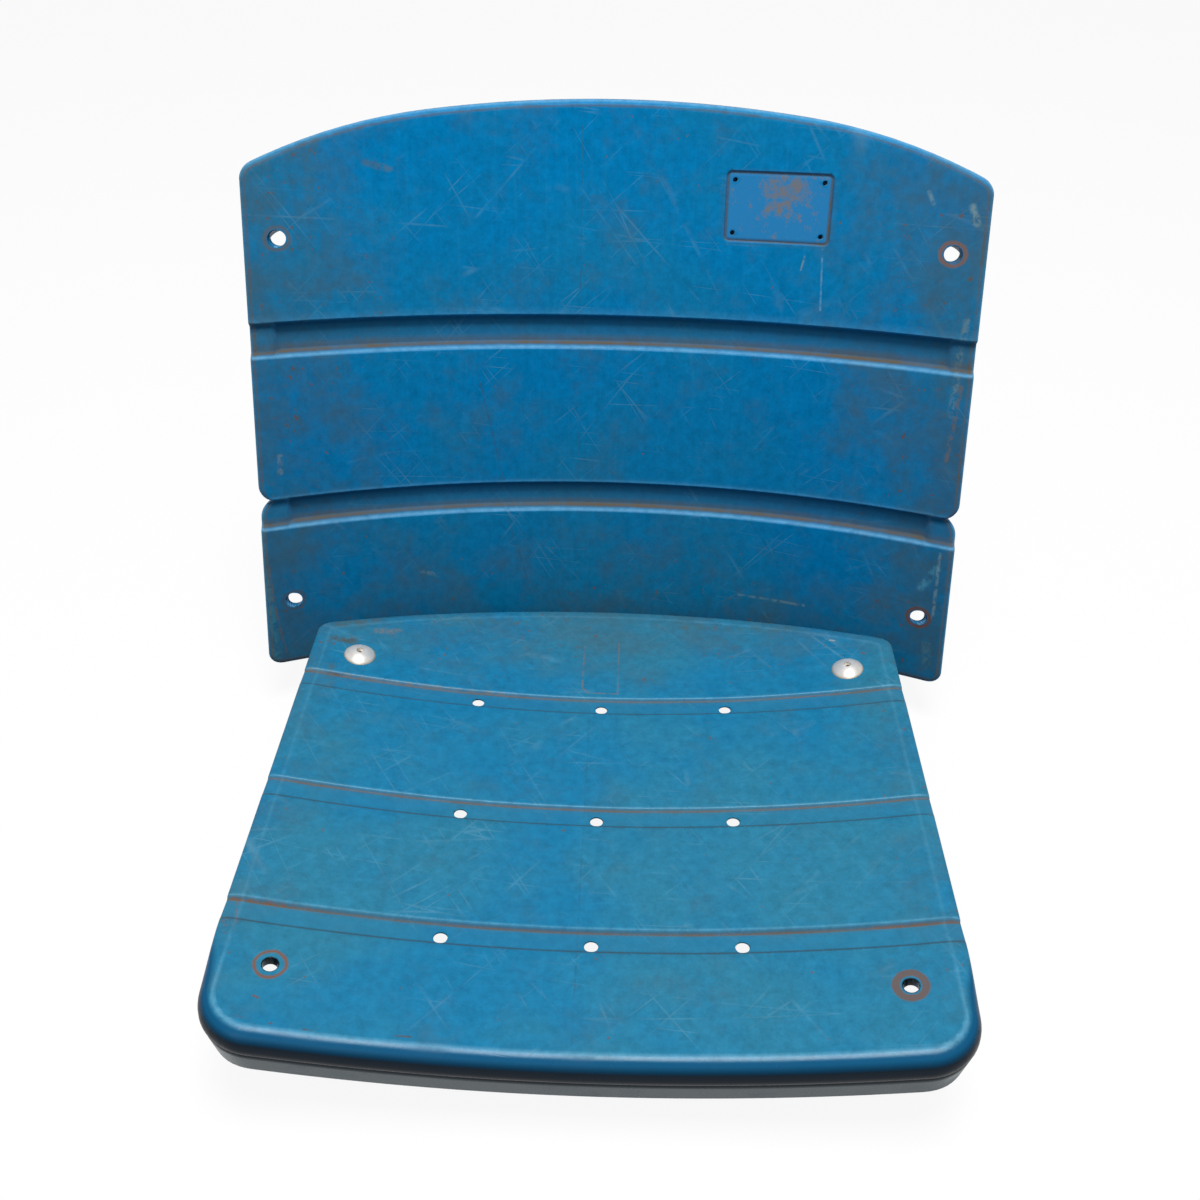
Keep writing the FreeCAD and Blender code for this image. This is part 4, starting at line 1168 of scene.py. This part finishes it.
# %% The back's plastic
back_plastic, tree, shader, layered, look = worn_plastic(
    "worn_polyethylene_back", fresh="007BB6", faded="0E7CAE", streak_turn=0, soil_share=0.58)
# Painted shade: the colour is darker towards the foot and brightest near the crest.
PAINTED_SHADE_FROM = -150
PAINTED_SHADE_TO = 130
up = add(tree, "SeparateXYZ", out="Y", Vector=look["plan"])
painted_shade_by_height = add(tree, "MapRange", Value=up, From_Min=mm(PAINTED_SHADE_FROM), From_Max=mm(PAINTED_SHADE_TO), To_Min=0.74,
             To_Max=1.03)
layered = add(tree, "VectorMath", {"operation": "SCALE"}, i0=layered, Scale=painted_shade_by_height)
BACK_RINGS = (((-UPPER_HOLE[0], UPPER_HOLE[1]), 6.2, 8.2, "6A625C", 0.6),
              (UPPER_HOLE, 6.2, 8.4, "8A6654", 0.8),
              ((-LOWER_HOLE[0], LOWER_HOLE[1]), 6.0, 7.8, "4A4E50", 0.6),
              (LOWER_HOLE, 6.2, 8.2, "6A4430", 0.8))
for middle, inner, outer, stain, strength in BACK_RINGS:
    layered = ring(tree, look, layered, middle, inner, outer, stain, strength)
print("washer rings on the back:", len(BACK_RINGS))

# %% Marks on the back
# The mould line, a paler worn band and a line by the left side, a slanted scratch, scuffs, drips
# below the recess and rubbed patches along the right side.
BACK_MARKS = (((-23, -178), (-23, 208), 0.8, "2E6480", 0.5), ((-246, -64), (-245, -120), 3.4, "3C7C90", 0.7),
              ((-245, -120), (-243, -176), 4.4, "3C7C90", 0.7),
              ((-243, -100), (-242, -130), 1.4, "6B5A4C", 0.6),
              ((-242, -130), (-237, -172), 1.4, "6B5A4C", 0.6),
              ((-99, 44), (-78, -52), 0.7, "3F4A48", 0.5), ((-77, -76), (-56, -150), 0.7, "3F4A48", 0.5),
              ((-140, -121), (-128, -125), 2.4, "6E8C92", 0.5),
              ((102, -137), (150, -139), 1.6, "6E8C92", 0.5),
              ((229, 155), (232, 146), 3.4, "8CA6A4", 0.65), ((203, 163), (206, 156), 2.0, "8CA6A4", 0.5),
              ((141, 124), (143, 82), 1.0, "6CA8D0", 0.6), ((130, 118), (128, 108), 0.9, "8FA8A4", 0.5),
              ((234, 84), (232, 20), 3.0, "7F979A", 0.5), ((236, 40), (233, -12), 2.2, "7A6A58", 0.55),
              ((236, -92), (228, -108), 4.0, "4F97B4", 0.6), ((236, -150), (238, -168), 4.0, "54808C", 0.5),
              ((237, -80), (238, -130), 1.6, "7F979A", 0.5), ((-230, -22), (-231, -34), 2.6, "7A8C90", 0.6),
              ((-196, 196), (-200, 150), 5.0, "4E7076", 0.35), ((-165, 172), (-150, 168), 3.0, "6F6A50", 0.4))
for start, end, half, tint, strength in BACK_MARKS:
    layered = stroke(tree, look, layered, start, end, half, tint, strength)
print("marks on the back:", len(BACK_MARKS))

# %% Where the plate was
# The plate's glue has kept the floor paler and left brown residue at its upper middle.
RESIDUE = (((117, 161), 26), ((104, 148), 9))
layered = add(tree, "Mix", RGBA, i0=look["plate"], i6=layered, i7=colour("2C85C0"))
for middle, reach in RESIDUE:
    centre = tuple(mm(v) for v in middle) + (0,)
    far = add(tree, "VectorMath", DISTANCE, i0=look["plan"], i1=centre)
    near = add(tree, "MapRange", Value=far, From_Max=mm(reach), To_Min=0.26, To_Max=0)
    near = add(tree, "Math", {"operation": "ADD"}, i0=near, i1=look["mottle"])
    crust = add(tree, "MapRange", Value=near, From_Min=0.57, From_Max=0.74, To_Max=0.75)
    crust = add(tree, "Math", TIMES, i0=crust, i1=look["plate"])
    layered = add(tree, "Mix", RGBA, i0=crust, i6=layered, i7=colour("84786A"))
finish_plastic(tree, shader, look, layered, hollow_tint="3C6A84", shade_tint="034870",
               dirt_tint="665842", wear_and_highlight_tint="6CAAD4", gloss=0.04)
dress(back_shell, back_plastic)
print("back plastic:", len(tree.nodes), "nodes")

# %% [markdown]
# ## Steel, brass, rubber and nylon
#
# The brackets and arms are hot-dip galvanised: zinc freezes on the steel in grey crystals,
# the spangle, each a centimetre or so across, and weather dulls it. The bolts, washers, nuts,
# pins and clips are zinc plated, which is thin, smooth and nearly white. Threaded inserts are
# brass, the stops are rubber, and the pivot bushes are nylon.

# %% Metals
def galvanised():
    """Hot-dip zinc: crystals of slightly different grey, with dull white rust on top."""
    material, tree, shader = new_material("galvanised_steel")
    place = add(tree, "TexCoord", out="Object")
    spangle = add(tree, "TexVoronoi", out="Color", Vector=place, Scale=per(11))
    tone = add(tree, "SeparateColor", Color=spangle)
    shade = add(tree, "Mix", RGBA, i0=tone, i6=colour("8A8E90"), i7=colour("B4B8B9"))
    bloom = add(tree, "TexNoise", Vector=place, Scale=per(30), Detail=8, Roughness=0.7)
    white = add(tree, "MapRange", Value=bloom, From_Min=0.5, From_Max=0.75, To_Max=0.6)
    shade = add(tree, "Mix", RGBA, i0=white, i6=shade, i7=colour("9FA2A0"))
    tree.links.new(shade, shader.inputs["Base Color"])
    gloss = add(tree, "MapRange", Value=tone, To_Min=0.38, To_Max=0.56)
    gloss = add(tree, "Math", TIMES_ADD, i0=white, i1=0.4, i2=gloss)
    tree.links.new(gloss, shader.inputs["Roughness"])
    shader.inputs["Metallic"].default_value = 0.9
    bump = add(tree, "Bump", Height=bloom, Strength=0.2, Distance=mm(0.3))
    tree.links.new(bump, shader.inputs["Normal"])
    return material


def zinc_plated():
    """Bright zinc gone satin: nearly white, with a rusty pit and rim on the two bolt heads."""
    material, tree, shader = new_material("zinc_plated_steel")
    place = add(tree, "TexCoord", out="Object")
    marks = add(tree, "TexNoise", Vector=place, Scale=per(5), Detail=6, Roughness=0.7)
    shade = add(tree, "Mix", RGBA, i0=marks, i6=colour("E6E0D8"), i7=colour("FBF9F4"))
    flat = add(tree, "VectorMath", TIMES, i0=place, i1=(1, 1, 0))
    for side in (-1, 1):
        head = (mm(side * BOLT_LINE), mm(SEAT_ROW + BOLT_REAR), 0)
        far = add(tree, "VectorMath", DISTANCE, i0=flat, i1=head)
        far = add(tree, "Math", TIMES_ADD, i0=marks, i1=mm(1.6), i2=far)
        rim = add(tree, "MapRange", Value=far, From_Min=mm(10.4), From_Max=mm(11.6), To_Max=0.7)
        near = add(tree, "MapRange", Value=far, From_Min=mm(12), From_Max=mm(13), To_Min=1, To_Max=0)
        rim = add(tree, "Math", TIMES, i0=rim, i1=near)
        pit = add(tree, "MapRange", Value=far, From_Min=mm(2), From_Max=mm(3), To_Min=0.9, To_Max=0)
        for share, tint in ((rim, "9A875E"), (pit, "5A4026")):
            shade = add(tree, "Mix", RGBA, i0=share, i6=shade, i7=colour(tint))
    tree.links.new(shade, shader.inputs["Base Color"])
    gloss = add(tree, "MapRange", Value=marks, From_Min=0.3, From_Max=0.7, To_Min=0.34, To_Max=0.5)
    tree.links.new(gloss, shader.inputs["Roughness"])
    shader.inputs["Metallic"].default_value = 0.45
    bump = add(tree, "Bump", Height=marks, Strength=0.1, Distance=mm(0.1))
    tree.links.new(bump, shader.inputs["Normal"])
    return material


def brass():
    """Turned brass, dulled brown in the air."""
    material, tree, shader = new_material("brass")
    place = add(tree, "TexCoord", out="Object")
    dull = add(tree, "TexNoise", Vector=place, Scale=per(6), Detail=5)
    shade = add(tree, "Mix", RGBA, i0=dull, i6=colour("B08D4A"), i7=colour("8A6A38"))
    tree.links.new(shade, shader.inputs["Base Color"])
    gloss = add(tree, "MapRange", Value=dull, To_Min=0.25, To_Max=0.55)
    tree.links.new(gloss, shader.inputs["Roughness"])
    shader.inputs["Metallic"].default_value = 1
    return material


# %% Rubber and nylon
def moulded(name, dark, pale, low, high, grain, ior):
    """A plain moulded polymer: two close shades, a roughness range and a fine grain."""
    material, tree, shader = new_material(name)
    place = add(tree, "TexCoord", out="Object")
    dust = add(tree, "TexNoise", Vector=place, Scale=per(14), Detail=6, Roughness=0.65)
    shade = add(tree, "Mix", RGBA, i0=dust, i6=colour(dark), i7=colour(pale))
    tree.links.new(shade, shader.inputs["Base Color"])
    gloss = add(tree, "MapRange", Value=dust, To_Min=low, To_Max=high)
    tree.links.new(gloss, shader.inputs["Roughness"])
    shader.inputs["IOR"].default_value = ior
    fine = add(tree, "TexNoise", Vector=place, Scale=per(grain), Detail=3)
    bump = add(tree, "Bump", Height=fine, Strength=0.15, Distance=mm(0.1))
    tree.links.new(bump, shader.inputs["Normal"])
    return material


finishes = {
    "galvanised_steel": galvanised(),
    "zinc_plated_steel": zinc_plated(),
    "brass": brass(),
    "rubber": moulded("black_rubber", "1C1C1D", "3A3937", 0.6, 0.85, 1.2, 1.52),
    "nylon": moulded("natural_nylon", "CFC9B8", "E3DFD2", 0.4, 0.55, 0.8, 1.53),
}

# %% Dress the carried-over pieces
for entry in frame["record"]["subparts"]:
    if entry["material_slot"] in finishes:
        dress(frame["nodes"][entry["node"]], finishes[entry["material_slot"]])
        print(entry["node"], "in", entry["material_slot"])

# %% [markdown]
# ## Studio
#
# One large soft lamp hangs above and a little in front, as a window over a table would. A weak
# one far in front and an even pale world fill the shadows. The floor is a pale grey card. The
# camera and reflections see it nearly white, as in a catalogue, with a soft shadow on it, and
# the camera sees the world white too. That white adds no light of its own to the seat.

# %% Floor
FLOOR_HALF = 6
FLOOR_WHITE = 0.91


def studio_floor():
    sheet = bmesh.new()
    bmesh.ops.create_grid(sheet, x_segments=1, y_segments=1, size=FLOOR_HALF)
    mesh = bpy.data.meshes.new("floor")
    sheet.to_mesh(mesh)
    sheet.free()
    floor = bpy.data.objects.new("floor", mesh)
    bpy.context.collection.objects.link(floor)
    return floor


def floor_card():
    """Grey card to the light, and nearly white to whoever looks at it."""
    material, tree, shader = new_material("pale_card")
    seen = add(tree, "LightPath", out="Is Camera Ray")
    for kind in ("Is Glossy Ray", "Is Transmission Ray"):
        other = add(tree, "LightPath", out=kind)
        seen = add(tree, "Math", {"operation": "MAXIMUM"}, i0=seen, i1=other)
    card = add(tree, "Mix", RGBA, i0=seen, i6=colour("787878"), i7=colour("FFFFFF"))
    tree.links.new(card, shader.inputs["Base Color"])
    shader.inputs["Roughness"].default_value = 1
    shader.inputs["Specular IOR Level"].default_value = 0
    white = add(tree, "Emission", Color=(1, 1, 1, 1), Strength=1)
    share = add(tree, "Math", TIMES, i0=seen, i1=FLOOR_WHITE)
    mixed = add(tree, "MixShader", i0=share, i1=shader.outputs[0], i2=white)
    # Seen from below the card is clear, so that the underside can be looked at.
    below = add(tree, "NewGeometry", out="Backfacing")
    clear = add(tree, "BsdfTransparent")
    mixed = add(tree, "MixShader", i0=below, i1=mixed, i2=clear)
    tree.links.new(mixed, tree.nodes["Material Output"].inputs["Surface"])
    return material


floor = studio_floor()
floor.data.materials.append(floor_card())
print("floor is", 2 * FLOOR_HALF, "m wide")


# %% Lamps and world
WORLD_LIGHT = 0.32


def softbox(name, place, target, size, power):
    light = bpy.data.objects.new(name, bpy.data.lights.new(name, "AREA"))
    light.data.size = size
    light.data.energy = power
    light.location = place
    light.rotation_euler = (Vector(target) - Vector(place)).to_track_quat("-Z", "Y").to_euler()
    bpy.context.collection.objects.link(light)


softbox("overhead", place=(0.1, -0.45, 2.2), target=(0, 0.02, 0.15), size=0.75, power=38)
softbox("fill", place=(-0.8, -2.4, 1.9), target=(0, 0, 0.2), size=1.2, power=6)

world = bpy.data.worlds.new("studio")
bpy.context.scene.world = world
world.use_nodes = True
background = world.node_tree.nodes["Background"]
background.inputs["Color"].default_value = (1, 1, 1, 1)
seen = add(world.node_tree, "LightPath", out="Is Camera Ray")
strength = add(world.node_tree, "MapRange", Value=seen, To_Min=WORLD_LIGHT, To_Max=1)
world.node_tree.links.new(strength, background.inputs["Strength"])
bpy.context.scene.view_settings.view_transform = "Standard"
print("the world's strength in the shadows:", WORLD_LIGHT)
